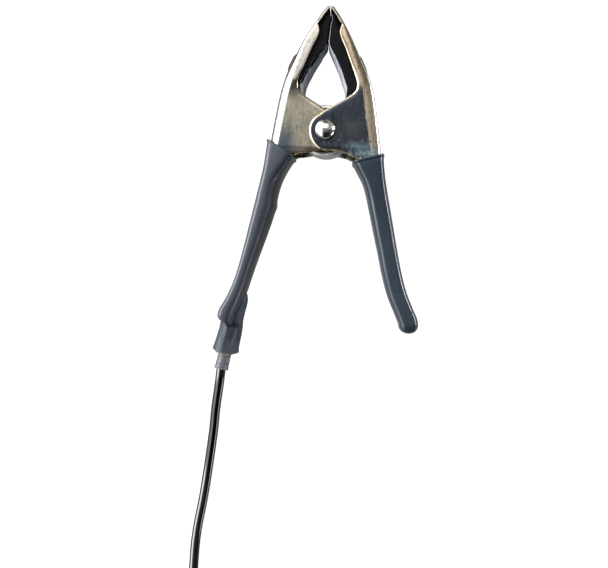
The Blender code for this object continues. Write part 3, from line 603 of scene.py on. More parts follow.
def plated_look(name, side):
    """Yellow zinc plate on stamped steel, mottled, with painted highlights on the bends and along the cut rim, and
    painted dark lines and painted shade beside them.
    """
    look = Look(name, (160, 152, 134), 0.3, 1.0)
    broad = look.noise(90.0, 3.0, 0.6, (1.0, 0.8, 1.0), 0.3)
    mottle = look.noise(750.0, 4.0, 0.65, (1.0, 0.45, 1.0), 0.2)
    streak = look.noise(420.0, 4.0, 0.6, (1.0, 0.14, 1.0))
    speck = look.noise(3000.0, 2.0, 0.5, (1.0, 0.6, 1.0))
    rim, bend = look.attribute("rim"), look.attribute("bend")
    y = look.axis("Y")
    out = look.times(look.axis("X"), float(side))
    front = look.span(look.axis("Z"), 0.0200, 0.0215)
    painted_highlight = (250, 248, 243)
    if side < 0:
        film_and_painted_light = look.ramp(broad, [(0.28, (158, 157, 147)), (0.45, (177, 170, 150)), (0.56, (186, 175, 157)),
                                 (0.66, (181, 170, 158)), (0.80, (153, 158, 152))])
        film_and_painted_light = look.layers(film_and_painted_light, [
            # the dark band where the ear becomes the jaw, and the blue of the ear's lower outer corner
            ((70, 70, 70), (y, 0.0275, 0.0235), (y, 0.0110, 0.0215), (broad, 0.15, 0.5)),
            ((100, 114, 120), (y, 0.008, -0.006), (out, 0.013, 0.0190), (broad, 0.20, 0.45)),
            # a painted highlight on the bend, the jaw, and a painted highlight along the ear's rim
            (painted_highlight, (bend, 0.03, 0.14)),
            ((196, 191, 183), (y, 0.0235, 0.0265)),
            ((196, 176, 140), (rim, 0.5, 0.8), (y, 0.026, 0.022)),
        ])
    else:
        film_and_painted_light = look.ramp(broad, [(0.28, (76, 80, 87)), (0.46, (64, 69, 81)), (0.62, (74, 77, 82)),
                                 (0.85, (104, 106, 109))])
        beige = look.ramp(mottle, [(0.3, (170, 155, 128)), (0.45, (204, 188, 162)), (0.7, (190, 181, 163))])
        wave = look.times(look.math("SUBTRACT", mottle, 0.5), 0.0040)
        edge = look.plus(look.times(y, 0.16), look.plus(out, wave))
        film_and_painted_light = look.layers(film_and_painted_light, [
            # pale flecks low on the ear, the beige band beside the bend, and the blue low on the outside
            ((176, 172, 160), (mottle, 0.56, 0.70), (y, 0.004, -0.009)),
            (beige, (edge, 0.0202, 0.0212)),
            ((164, 196, 206), (y, -0.0035, -0.0115), (out, 0.007, 0.014), (mottle, 0.30, 0.62, 0.25, 1.0), 0.85),
            # a painted dark line before the bend, where the bend's reflection is dark, and a painted highlight on the
            # bend
            ((84, 78, 70), (bend, 0.37, 0.40), (bend, 0.48, 0.45), 0.85),
            (painted_highlight, (bend, 0.46, 0.50)),
            # the jaw, its tip, painted shade along its edge, and a painted highlight on the rim
            ((160, 145, 126), (y, 0.0195, 0.0245), (bend, 0.42, 0.36)),
            ((176, 165, 150), (y, 0.0505, 0.0530)),
            ((96, 84, 72), (rim, 0.15, 0.5), (y, 0.026, 0.032)),
            ((206, 192, 164), (rim, 0.44, 0.64), (y, 0.034, 0.022, 0.15, 1.0)),
        ])
    film_and_painted_light = look.mix(front, (196, 188, 168), film_and_painted_light)
    # painted shade on the outer part of the bend
    film_and_painted_light = look.layers(film_and_painted_light, [((104, 100, 90), (bend, 0.66, 0.80))])
    if side < 0:
        # painted shade on the jaw's outer slope, a painted dark outline on the bend, and the tip
        film_and_painted_light = look.layers(film_and_painted_light, [
            ((112, 104, 94), (bend, 0.36, 0.56), (y, 0.026, 0.034)),
            ((30, 28, 25), (bend, 0.60, 0.72)),
            ((136, 129, 120), (y, 0.0515, 0.0540)),
        ])
    film_and_painted_light = look.layers(film_and_painted_light, [((150, 143, 126), (bend, 0.90, 0.99))])
    # the mottle, the streaks and the specks darken the film at both their ends
    for share, noise, stops in ((0.55, mottle, [(0.28, 0.72), (0.5, 1.0), (0.74, 0.0)]),
                                (0.35, streak, [(0.3, 0.75), (0.5, 1.0), (0.7, 0.0)]),
                                (0.5, speck, [(0.32, 0.72), (0.5, 1.0), (0.75, 0.0)])):
        film_and_painted_light = look.mix(share, film_and_painted_light, look.ramp(noise, stops), "MULTIPLY")
    look.colour(film_and_painted_light)
    rough = look.math("SUBTRACT", look.span(mottle, 0.25, 0.8, 0.24, 0.38, False),
                      look.span(y, 0.024, 0.030, 0.0, 0.09))
    look.link(rough, look.shader.inputs["Roughness"])
    look.bump(look.plus(look.times(mottle, 0.6), look.times(speck, 0.4)), 0.14, 0.05)
    return look.made


def grip_look(name, tone, gloss, painted_lit_colour=None):
    """Dipped vinyl: a soft gloss with an orange-peel skin, faint flow lines and scuffs. A given lit colour paints
    light on the side towards the grip's outside.
    """
    look = Look(name, (44, 53, 62), 0.3)
    broad = look.noise(45.0, 3.0, 0.5, (1.0, 0.5, 1.0))
    peel = look.noise(900.0, 3.0, 0.5)
    flow = look.noise(160.0, 3.0, 0.6, (1.0, 0.12, 1.0))
    tones = [(0.3, (30, 41, 52)), (0.5, (38, 48, 59)), (0.7, (46, 55, 66))]
    base = look.ramp(broad, [(at, tuple(part * tone for part in colour)) for at, colour in tones])
    # a painted lit side: the given colour laid on towards the grip's outer side
    if painted_lit_colour:
        base = look.layers(base, [(painted_lit_colour, (look.attribute("outward"), 0.1, 0.75))])
    look.colour(look.mix(0.30, base, look.ramp(flow, [(0.3, 0.75), (0.7, 0.0)]), "MULTIPLY"))
    look.roughness(flow, 0.75, gloss, gloss + 0.12)
    look.set("Specular IOR Level", 0.55)
    look.bump(look.plus(peel, look.times(flow, 0.7)), 0.16, 0.06)
    return look.made


def noise_look(name, colour, rough, noises, stops, gloss, bump, shade=None, metallic=0.0, **sockets):
    """A look made of named noises, of which the first one colours it by the stops.

    gloss: a noise, and the rest of roughness(); bump: strength, distance, and each noise's share; shade: its share,
    a noise and its greys, multiplied in; sockets: the shader's own, with _ for a space.
    """
    look = Look(name, colour, rough, metallic)
    fields = {key: look.noise(*noise) for key, noise in noises.items()}
    tint = look.ramp(fields[next(iter(noises))], stops)
    if shade:
        share, key, greys = shade
        tint = look.mix(share, tint, look.ramp(fields[key], greys), "MULTIPLY")
    look.colour(tint)
    look.roughness(fields[gloss[0]], *gloss[1:])
    *depth, shares = bump
    heights = [look.times(fields[key], share) for key, share in shares.items()]
    look.bump(heights[0] if len(heights) == 1 else look.plus(*heights), *depth)
    for socket, value in sockets.items():
        look.set(socket.replace("_", " "), value)
    return look.made


def sleeve_look():
    """Heat-shrink tubing: matt, finely pitted, with strain marks along it."""
    noises = {"broad": (80.0, 3.0, 0.6), "marks": (330.0, 4.0, 0.6, (1.0, 0.22, 1.0), 0.4),
              "pits": (2200.0, 2.0, 0.5)}
    return noise_look("shrink_sleeve", (72, 82, 93), 0.5, noises,
                      [(0.3, (34, 43, 52)), (0.55, (43, 53, 63)), (0.75, (54, 64, 74))],
                      ("marks", 0.75, 0.45, 0.62), (0.25, 0.08, {"pits": 0.5, "marks": 1.0}),
                      (0.4, "marks", [(0.3, 0.7), (0.5, 1.0), (0.75, 0.0)]), Specular_IOR_Level=0.4)


def liner_look():
    """The sleeve's hot-melt lining, an amber line where the sleeve is cut."""
    return noise_look("melt_liner", (150, 140, 96), 0.35, {"cloud": (900.0, 3.0, 0.6)},
                      [(0.3, (96, 92, 70)), (0.55, (150, 140, 98)), (0.8, (196, 184, 140))],
                      ("cloud", 0.7, 0.25, 0.5), (0.3, 0.08, {"cloud": 1.0}))


def rubber_look():
    """Black moulded rubber with a faint dusty mottle."""
    return noise_look("pad_rubber", (12, 12, 14), 0.7, {"dust": (240.0, 4.0, 0.6), "pits": (1900.0, 2.0, 0.5)},
                      [(0.3, (3, 3, 5)), (0.55, (8, 8, 11)), (0.8, (18, 18, 22))],
                      ("dust", 0.7, 0.6, 0.76), (0.2, 0.08, {"pits": 1.0, "dust": 0.6}), Specular_IOR_Level=0.12)


def pad_lit_face_look():
    """The pads' gripping faces: ribbed and dusty, and painted a lighter grey than their moulded sides as painted
    light.
    """
    look = Look("pad_lit_face_rubber", (84, 88, 94), 0.6)
    dust = look.noise(260.0, 4.0, 0.65, (1.0, 0.4, 0.4))
    ribs = look.add("ShaderNodeTexWave")
    ribs.bands_direction = "Z"
    ribs.inputs["Scale"].default_value = 260.0
    ribs.inputs["Distortion"].default_value = 0.5
    look.link(look.place, ribs.inputs["Vector"])
    look.colour(look.ramp(dust, [(0.3, (122, 128, 136)), (0.55, (150, 156, 164)), (0.8, (180, 184, 190))]))
    look.roughness(dust, 0.7, 0.5, 0.7)
    look.bump(look.plus(ribs.outputs["Fac"], dust), 0.15, 0.08)
    return look.made


def cable_look():
    """Glossy black PVC with a faint long flow grain."""
    noises = {"flow": (260.0, 3.0, 0.5, (1.0, 0.1, 1.0)), "fine": (1500.0, 2.0, 0.5)}
    return noise_look("cable_sheath", (16, 17, 22), 0.12, noises,
                      [(0.3, (2, 3, 6)), (0.6, (5, 6, 10)), (0.85, (9, 10, 15))],
                      ("flow", 0.75, 0.05, 0.12), (0.05, 0.05, {"fine": 1.0, "flow": 1.0}), Specular_IOR_Level=0.9)


def tube_look():
    """A translucent grey plastic tube, cloudy and faintly wavy."""
    noises = {"cloud": (300.0, 3.0, 0.6), "wave": (1300.0, 2.0, 0.5, (1.0, 1.0, 0.3))}
    return noise_look("clear_tube", (176, 182, 190), 0.3, noises,
                      [(0.3, (88, 92, 99)), (0.55, (116, 120, 128)), (0.8, (154, 157, 163))],
                      ("cloud", 0.7, 0.22, 0.42), (0.3, 0.1, {"wave": 1.0, "cloud": 1.0}),
                      Transmission_Weight=0.45, IOR=1.42)


def metal_look(name, dark, light, rough, scale=500.0, along=(1.0, 1.0, 1.0), bump=0.08):
    """Bare or bright-plated metal with fine working marks."""
    noises = {"marks": (scale, 4.0, 0.6, along), "cloud": (scale / 6, 3.0, 0.5)}
    return noise_look(name, light, rough, noises, [(0.3, dark), (0.6, light)],
                      ("marks", 0.75, rough * 0.75, rough * 1.35), (bump, 0.05, {"marks": 1.0}),
                      (0.25, "cloud", [(0.3, 0.75), (0.7, 0.0)]), 1.0)


def plastic_look(name, colour, rough, scale=1100.0):
    """Moulded plastic with a fine spark-eroded grain."""
    darker = tuple(value * 0.75 for value in colour)
    lighter = tuple(min(255.0, value * 1.35 + 4) for value in colour)
    return noise_look(name, colour, rough, {"cloud": (90.0, 3.0, 0.5), "grain": (scale, 3.0, 0.55)},
                      [(0.3, darker), (0.55, colour), (0.8, lighter)],
                      ("grain", 0.7, rough * 0.85, rough * 1.2), (0.18, 0.08, {"grain": 1.0}))


# ---------------------------------------------------------------- the clip

def web_x(side, y):
    if y >= WEB_LINE[-1][0]:
        fuller = max(0.0, 1 - ((y - WEB_BULGE_Y) / WEB_BULGE_REACH) ** 2)
        return line_at(WEB_LINE, y) + WEB_BULGE[side] * fuller
    start = WEB_LINE[-1][0]
    in_grip = grip_outer(side, y) - GRIP_SPACE
    part = min(1.0, (start - y) / WEB_STEP_LENGTH)
    straight_on = line_at(WEB_LINE, start) + WEB_SLOPE * (start - y)
    return (1 - part) * min(straight_on, in_grip) + part * in_grip


def grip_outer(side, y):
    return line_at(GRIP_OUTER, y) - GRIP_TRIM[side] * min(1.0, (GRIP_OUTER[0][0] - y) / GRIP_TRIM_LENGTH)


def edge_x(side, y):
    bottom = EAR_BOTTOM[side]
    if y >= FLANGE_EDGE[-1][0]:
        return line_at(FLANGE_EDGE, y)
    if y > bottom[0][0]:
        if y >= EAR_ROUND_FROM:
            return line_at([FLANGE_EDGE[-1], (EAR_ROUND_FROM, EAR_ROUND_X)], y)
        wide = EAR_RADIUS + EAR_CORNER * max(0.0, y / bottom[0][0]) ** 2
        return -math.sqrt(max(wide * wide - y * y, 0.0))
    if y >= bottom[-1][0]:
        return line_at(bottom, y)
    return max(line_at(GRIP_INNER[side], y) + FLANGE_INSET, bottom[-1][1])


def half_width(side, y):
    ear = OUTER_EAR if side > 0 else INNER_EAR
    if y > JAW_TAPER_FROM:
        return ear + (TIP_HALF_WIDTH - ear) * (y - JAW_TAPER_FROM) / (TIP_Y - JAW_TAPER_FROM)
    if y < HANDLE_TAPER_FROM:
        return ear + (HANDLE_END_HALF_WIDTH - ear) * min(1.0, (HANDLE_TAPER_FROM - y) / HANDLE_TAPER_LENGTH)
    return ear


def rib_at(side, y):
    rise = smoothstep(RIB_TOP, RIB_FULL, y) if y > RIB_FULL else 1.0
    return RIB_HEIGHT[side] * rise * smoothstep(RIB_FADE, RIB_FADE_TO, y)


def bend_at(side, y):
    jaw = max(TIP_BEND, EAR_BEND[side] - max(0.0, y - JAW_BEND_FROM) * JAW_BEND_FALL)
    return jaw + (HANDLE_BEND - jaw) * smoothstep(*HANDLE_BEND_SPAN, y)


def lever_heights(side):
    """The sections' heights, closest together where the flange begins and along the ear's bottom."""
    ear_end = EAR_BOTTOM[side][-1][0]
    return np.concatenate([
        np.arange(TIP_Y, 53.4, -0.8), np.arange(53.2, 50.6, -0.2), np.arange(50.4, 22.0, -0.8),
        np.arange(21.6, -8.0, -0.5), np.arange(-8.2, ear_end - 0.05, -0.2), np.arange(ear_end - 0.3, -18.0, -0.6),
        np.arange(-20.0, LEVER_END[side] + 1.0, -3.0), [LEVER_END[side]]])


def left_bend(x, wide, bend):
    """The turn from the flange into the web, as one arc."""
    turns = [math.pi / 2 * step / BEND_STEPS for step in range(BEND_STEPS + 1)]
    return [(x - bend + bend * math.sin(turn), wide - bend + bend * math.cos(turn)) for turn in turns]


def right_bend(x, wide, bend):
    """The same turn as a slow arc and then a tight one."""
    tight = bend * TIGHT_PART
    slow = (bend - tight * (1 - math.sin(SLOW_BEND))) / math.sin(SLOW_BEND)
    points = []
    for step in range(BEND_STEPS + 1):
        if step <= SLOW_STEPS:
            turn = SLOW_BEND * step / SLOW_STEPS
            points.append((x - bend + slow * math.sin(turn), wide - slow * (1 - math.cos(turn))))
            continue
        turn = SLOW_BEND + (math.pi / 2 - SLOW_BEND) * (step - SLOW_STEPS) / (BEND_STEPS - SLOW_STEPS)
        centre = wide - slow + (slow - tight) * math.cos(SLOW_BEND)
        points.append((x - tight + tight * math.sin(turn), centre + tight * math.cos(turn)))
    return points


def lever_ring(side, y):
    """The outer face of the channel's section at one y, from the front flange's edge to the rear one's."""
    x = web_x(side, y)
    bend = bend_at(side, y)
    wide = half_width(side, y) * (1 - HIDDEN_NARROWER * smoothstep(HIDDEN_FROM, HIDDEN_AT, y))
    flange = min(edge_x(side, y), x - bend - LEAST_FLANGE)
    edge = flange + (x - bend - TIP_FLANGE - flange) * smoothstep(FLANGE_TOP[1], FLANGE_TOP[0], y)
    flat = x - bend - edge
    front = [(edge + min(reach, flat * reach / NARROWEST_FLAT), wide) for reach in FLANGE_REACHES]
    front.append((edge + flat * LAST_REACH, wide))
    front += left_bend(x, wide, bend) if side < 0 else right_bend(x, wide, bend)
    rib = rib_at(side, y)
    foot = min(RIB_FOOT, wide - bend - FOOT_MARGIN - 0.2)
    front.append((x, foot + FOOT_MARGIN))
    for step in range(RIB_STEPS + 1):
        part = step / RIB_STEPS
        front.append((x + rib * part * part * (3 - 2 * part), foot + (RIB_FLAT - foot) * part))
    section = front + [(px, -pz) for px, pz in reversed(front)]
    return [Vector((side * px, y, MID + pz)) for px, pz in section]


def bend_values():
    """For each point of a ring, how far round the web's bend it lies: 0 on the flange, 1 on the web."""
    half = [0.0] * FLANGE_POINTS + [step / BEND_STEPS for step in range(BEND_STEPS + 1)] + [1.0] * WEB_POINTS
    return half + half[::-1]


def rim_line(side):
    """The flange's free edge as points, for the rounding that the stamping die leaves along it."""
    points = []
    for y in np.arange(52.0, EAR_BOTTOM[side][-1][0], -0.1):
        points.append((side * min(edge_x(side, y), web_x(side, y) - bend_at(side, y) - LEAST_FLANGE), y))
    return np.array(points)


def roll_rim(rings, side):
    """Rounds the flange down to its free edge, and gives each point's closeness to that edge."""
    rim = rim_line(side)
    closeness = []
    for ring in rings:
        for point in ring:
            on_flange = abs(point.z - MID) > half_width(side, point.y) - 0.01
            if not on_flange or point.y < EAR_BOTTOM[side][-1][0]:
                closeness.append(0.0)
                continue
            away = math.sqrt(float(np.min((rim[:, 0] - point.x) ** 2 + (rim[:, 1] - point.y) ** 2)))
            part = max(0.0, 1 - away / DIE_ROLL_WIDTH)
            drop = DIE_ROLL_DROP * (1 - JAW_ROLL_LACK[side] * smoothstep(*JAW_ROLL_SPAN, point.y))
            point.z -= math.copysign(drop * part * part, point.z - MID)
            closeness.append(part)
    return closeness


def make_lever(side, look):
    name = SIDE_NAME[side] + "_lever"
    rings = [lever_ring(side, float(y)) for y in lever_heights(side)]
    closeness = roll_rim(rings, side)
    mesh = loft(rings)
    mark_points(mesh, "rim", closeness)
    mark_points(mesh, "bend", bend_values() * len(rings))
    obj = add_piece(name + "_steel", mesh, BODY[side], name, look, 40.0)
    solidify(obj, SHEET)
    bevel(obj, 0.08, 60.0)


def pad_ring(side, y):
    inner = line_at(PAD_FACE[side], y)
    outer = max(web_x(side, y) - PAD_SETBACK, inner + PAD_TIP * (1 + smoothstep(*PAD_TIP_SPAN, y)))
    wide = half_width(-1, y) - SHEET - GAP
    corner = min(PAD_CORNER, (outer - inner) * 0.6)
    crown = PAD_CROWN[side] * smoothstep(44.0, 34.0, y) * smoothstep(12.0, 24.0, y) + PAD_LEAST_CROWN
    crown = min(crown, (outer - inner) * 0.5)
    parts = [step / PAD_STEPS for step in range(PAD_STEPS + 1)]
    front = [(inner + crown * part ** 3.2, (wide - PAD_EDGE) * part) for part in parts]
    edge = inner + crown + PAD_EDGE
    for step in range(1, 4):
        angle = math.radians(30.0 * step)
        front.append((edge - PAD_EDGE * math.cos(angle), wide - PAD_EDGE * (1 - math.sin(angle))))
    front.append((edge + 0.3, wide))
    for step in range(5):
        angle = math.radians(22.5 * step)
        front.append((outer - corner + corner * math.sin(angle), wide - corner + corner * math.cos(angle)))
    section = list(reversed(front)) + [(px, -pz) for px, pz in front[1:]]
    move = line_at(PAD_SEAM, y)
    near = [max(0.0, 1 - (px - inner) / PAD_SEAM_REACH) for px, _ in section]
    return [(side * px + move * part, y, MID + pz) for (px, pz), part in zip(section, near)]


def make_pad(side, looks):
    name = SIDE_NAME[side] + "_jaw_pad"
    heights = np.concatenate([[60.5, 60.3, 59.9, 59.3, 59.1, 58.6], np.arange(58.0, 15.5, -0.7),
                              [15.2, 14.8, 14.5]])
    rings = []
    for y in heights:
        ring = pad_ring(side, float(y))
        pinch = 0.8 * max(0.0, (15.4 - y) / 0.9) ** 2
        if pinch:
            ring = [(x, py, MID + (z - MID) * (1 - 0.04 * pinch)) for x, py, z in ring]
        rings.append(ring)
    mesh = loft(rings, closed_ring=True, start_cap=True, end_cap=True)
    obj = add_piece(name + "_rubber", mesh, BODY[side], name, looks[0], 40.0)
    obj.data.materials.append(looks[1])
    # Faces turned to the other pad, and a strip of the right pad's corner by the way it faces, take the lighter face
    # material: painted light
    low, high = PAD_LIT_CORNER_M
    for face in obj.data.polygons:
        way, y = face.normal, face.center.y
        lit_face = way.x * side < -0.75 and y < PAD_LIT_BELOW_M and abs(way.y) < 0.75
        corner = side > 0 and way.x < -0.25 and 0.3 < way.z < 0.85 and low < y < high
        face.material_index = int(lit_face or corner)


def hump(shape, y):
    """A rounded rise along y, from its height, middle and reach."""
    height, middle, reach = shape
    return height * math.exp(-((y - middle) / reach) ** 2)


def grip_ring(side, outer_y, outward, shrink=0.0, swell=0.0):
    """A ring round the grip. It adds to outward how far out each of its points lies, from 0 to 1."""
    rim, slant = GRIP_RIM[side]
    decay = max(0.0, (GRIP_STRAIGHT_FROM - outer_y) / (GRIP_STRAIGHT_FROM - rim))
    inner_y = outer_y - slant * decay
    dome_y, dome = GRIP_DOME[side]
    wide = half_width(side, outer_y) + GRIP_SPACE
    outer_x = grip_outer(side, outer_y)
    inner_x = line_at(GRIP_INNER[side], inner_y)
    if side < 0:
        inner_x -= hump(GRIP_HOLLOW, inner_y)
        outer_x += hump(GRIP_HEEL, outer_y)
    if shrink:
        middle = (outer_x + inner_x) / 2
        reach = (outer_x - inner_x) / 2 * math.cos(shrink) ** 0.8
        outer_x, inner_x = middle + reach, middle - reach
        wide -= dome * (1 - math.cos(shrink))
        drop = math.sin(shrink)
        inner_y = dome_y - (dome + GRIP_END_SLANT[side]) * drop
        outer_y = dome_y - (dome - GRIP_END_SLANT[side] * 0.6) * drop
    outer_x += swell
    inner_x -= swell
    wide += swell
    thick = outer_x - inner_x
    settled = smoothstep(rim, GRIP_SETTLED[side], outer_y)
    square, outer_half, inner_half = GRIP_FULLNESS[side]
    crest = GRIP_CREST[side] * settled
    ring = []
    for step in range(GRIP_SIDES):
        angle = 2 * math.pi * (step + 0.5) / GRIP_SIDES
        cos, sin = math.cos(angle), math.sin(angle)
        power = square + ((outer_half if cos > 0 else inner_half) - square) * settled
        u = math.copysign(abs(cos) ** (2 / power), cos)
        v = math.copysign(abs(sin) ** (2 / power), sin)
        part = (1 + crest + u * (1 - crest if cos > 0 else 1 + crest)) / 2
        y = inner_y + (outer_y - inner_y) * part
        ring.append((side * (inner_x + part * thick), y, MID + wide * v))
        outward.append(part)
    return ring


def make_grip(side, look):
    name = SIDE_NAME[side] + "_grip"
    rim = GRIP_RIM[side][0]
    dome_y = GRIP_DOME[side][0]
    rings, outward = [], []
    height, middle, half = GRIP_BEAD
    for step in range(MOUTH_RINGS):
        swell = height * math.sqrt(max(0.0, 1 - ((step * MOUTH_STEP - middle) / half) ** 2))
        rings.append(grip_ring(side, rim - MOUTH_STEP * step, outward, swell=swell - (0 if step else MOUTH_LIP)))
    for y in np.arange(rim - 2.4, dome_y, -1.0):
        rings.append(grip_ring(side, float(y), outward))
    for angle in END_ANGLES:
        rings.append(grip_ring(side, dome_y, outward, math.radians(angle)))
    mesh = loft(rings, closed_ring=True, end_cap=True)
    mark_points(mesh, "outward", outward)
    obj = add_piece(name + "_vinyl", mesh, BODY[side], name, look, 60.0)
    solidify(obj, GRIP_WALL)
    bevel(obj, 0.25, 65.0)


def make_pivot(bright, bush_look):
    front = MID + OUTER_EAR + GAP
    rear = MID - OUTER_EAR - GAP
    profile = [(0.0, front + DOME_HEIGHT)]
    for step in range(1, DOME_STEPS + 1):
        angle = math.radians(90.0 * (1 - step / DOME_STEPS))
        profile.append((DOME_RADIUS * math.cos(angle), front + DOME_HEIGHT * math.sin(angle)))
    # the head's underside, the shank, then the tail with a shallow dimple in its end
    profile += [(DOME_RADIUS - 0.15, front - 0.12), (SHANK + 0.3, front - 0.14), (SHANK, front - 0.3),
                (SHANK, rear + 0.2), (SHANK + 0.2, rear), (TAIL_RADIUS - 0.2, rear), (TAIL_RADIUS, rear - 0.2),
                (TAIL_RADIUS, 0.6), (TAIL_RADIUS - 0.2, 0.2), (TAIL_RADIUS - 0.6, 0.0), (1.4, 0.0), (0.9, 0.35),
                (0.0, 0.45)]
    add_piece("rivet", turned_mesh(profile, 72), LEFT, "pivot_rivet", bright, 40.0)
    reach = INNER_EAR - SHEET - GAP
    bore, outside = BUSH_RADII
    ring = rounded([(outside, MID + reach), (outside, MID - reach), (bore, MID - reach), (bore, MID + reach)], 0.4)
    add_piece("bush", turned_mesh(ring + ring[:1], 64), LEFT, "spring_bush", bush_look, 40.0)


def spring_path():
    """The wire's centre line: the left leg, the coil, then the right leg."""
    start = math.pi - LEG_ANGLE
    sweep = 2 * math.pi * COIL_WHOLE_TURNS + math.pi - 2 * LEG_ANGLE
    rise = COIL_PITCH * sweep / (2 * math.pi)
    low = MID - rise / 2
    leg = Vector((-math.sin(LEG_ANGLE), -math.cos(LEG_ANGLE), 0.0)) * LEG_LENGTH
    steps = round(sweep / SPRING_STEP)
    coil = []
    for step in range(steps + 1):
        angle = start - sweep * step / steps
        height = low + rise * step / steps
        coil.append(Vector((COIL_RADIUS * math.cos(angle), COIL_RADIUS * math.sin(angle), height)))
    right_leg = Vector((-leg.x, leg.y, 0.0))
    left = [coil[0] + leg * part for part in reversed(LEG_PARTS)]
    right = [coil[-1] + right_leg * part for part in LEG_PARTS]
    left[0] += (left[0] - left[1]).normalized() * END_LONGER
    return left + coil + right


def make_spring(look):
    points = spring_path()
    ends = (0, len(points) - 1)
    rings = tube_along(points, lambda index, angle: WIRE / 2 * (END_SHARE if index in ends else 1.0), SPRING_SIDES)
    mesh = loft(rings, closed_ring=True, start_cap=True, end_cap=True)
    obj = new_object("spring", mesh)
    finish_mesh(mesh, look, 50.0)
    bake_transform(obj)
    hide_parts("torsion_spring")


# ---------------------------------------------------------------- the lead

def sleeve_line(part):
    """The sleeve's centre and half widths, a part of the way down it."""
    where = part * (len(SLEEVE_STATIONS) - 1)
    index = min(int(where), len(SLEEVE_STATIONS) - 2)
    t = where - index
    path = [Vector(station) for station in SLEEVE_STATIONS]
    before = path[max(index - 1, 0)]
    start, end = path[index], path[index + 1]
    after = path[min(index + 2, len(path) - 1)]
    return curve_point(before, start, end, after, t)


def make_sleeve(looks):
    """The shrunk sleeve over the cable's entry, creased below the grip's end and cut ragged below."""
    rings = []
    for row in range(SLEEVE_ROWS + 1):
        part = row / SLEEVE_ROWS
        here = sleeve_line(part)
        ahead = sleeve_line(min(part + 0.01, 1.0)) - sleeve_line(max(part - 0.01, 0.0))
        along = Vector((ahead[0], ahead[1], 0.0)).normalized()
        across = Vector((-along.y, along.x, 0.0))
        end = smoothstep(0.72, 1.0, part)
        ring = []
        for step in range(SLEEVE_SIDES):
            angle = 2 * math.pi * step / SLEEVE_SIDES
            u, v = math.cos(angle), math.sin(angle)
            front = max(0.0, v)
            off = u - CREASE_AT + (part - CREASE_LEAN_ABOUT) * CREASE_LEAN
            crease = math.exp(-(off / CREASE_WIDTHS[off >= 0]) ** 2) * front
            crease *= smoothstep(0.50, 0.62, part) * smoothstep(1.0, 0.74, part)
            waves = 0.02 * math.sin(5 * angle + 9 * part) * smoothstep(0.4, 0.6, part)
            lift = 1.0 - CREASE_DEPTH * crease + waves
            flare = SLEEVE_FLARE * end * end
            point = Vector((here[0], here[1], MID)) + across * (here[2] + flare) * u
            point.z += (here[3] + flare) * v * lift
            ragged = 0.30 * math.sin(3 * angle + 0.6) + 0.16 * math.sin(11 * angle) + 0.10 * math.sin(23 * angle)
            point += along * (SLEEVE_TONGUE * front * (1 - 0.35 * u) - ragged) * end
            ring.append(point)
        rings.append(ring)
    lip = [point + along * LINER_LIP for point in rings[-1]]
    middle = sum(lip, Vector()) / len(lip)
    rings.append([point + (middle - point) * LINER_SHRINK for point in lip])
    mesh = loft(rings, closed_ring=True)
    obj = add_piece("sleeve", mesh, LEFT, "entry_sleeve", looks[0], 50.0)
    obj.data.materials.append(looks[1])
    for face in obj.data.polygons:
        if face.index >= SLEEVE_ROWS * SLEEVE_SIDES:
            face.material_index = 1
    solidify(obj, SLEEVE_WALL)
    obj.modifiers["wall"].material_offset_rim = 1
    bevel(obj, 0.12, 60.0)


def make_tube(look):
    """The ribbed clear tube, faintly oval, and flared at its lower end."""
    top = Vector((*TUBE_TOP, MID))
    bottom = Vector((*TUBE_BOTTOM, MID))
    length = (bottom - top).length
    points, outer, inner = [], [], []
    for step in range(TUBE_ROWS + 1):
        part = step / TUBE_ROWS
        rib = TUBE_RIB * math.sin(2 * math.pi * part * length / TUBE_RIB_PITCH)
        flare = TUBE_FLARE * smoothstep(0.90, 1.0, part)
        points.append(top + (bottom - top) * part)
        outer.append(TUBE_RADIUS - TUBE_SET_IN + rib + flare)
        inner.append(TUBE_BORE + flare * 0.9)

    def outside(index, angle):
        return outer[index] * (1 + TUBE_OVAL * math.sin(2 * angle + index * 0.2))

    rings = tube_along(points, outside, TUBE_SIDES)
    rings += tube_along(points, lambda index, angle: inner[index], TUBE_SIDES)[::-1]
    mesh = loft(rings + rings[:1], closed_ring=True, welded=True)
    add_piece("ribbed_tube", mesh, LEFT, "strain_tube", look, 60.0)


def coil_path():
    """Two flat layers of turns: in along the floor, up by one diameter, and out again on top."""
    total = 2 * COIL_LAYER_TURNS + COIL_CLIMB_TURNS
    steps = round(total * POINTS_A_TURN)
    path = []
    for step in range(steps + 1):
        turns = total * step / steps
        climb = min(max((turns - COIL_LAYER_TURNS) / COIL_CLIMB_TURNS, 0.0), 1.0)
        inward = min(turns, COIL_LAYER_TURNS)
        outward = max(turns - COIL_LAYER_TURNS - COIL_CLIMB_TURNS, 0.0)
        radius = COIL_OUTER_TURN + (outward - inward) * COIL_SPACING - COIL_CLIMB_TUCK * math.sin(math.pi * climb)
        height = COIL_FIRST_HEIGHT + COIL_SPACING * climb * climb * (3 - 2 * climb)
        angle = math.pi + 2 * math.pi * turns
        path.append((COIL_CENTRE[0] + radius * math.cos(angle), COIL_CENTRE[1] + radius * math.sin(angle), height))
    return path


def cable_path():
    run = smooth_path(RUN_ROUTE)
    coil = [Vector(point) for point in coil_path()]
    return run + smooth_path([run[-1], COIL_ENTRY, coil[0]])[1:-1] + coil + smooth_path(TAIL_ROUTE)[1:]


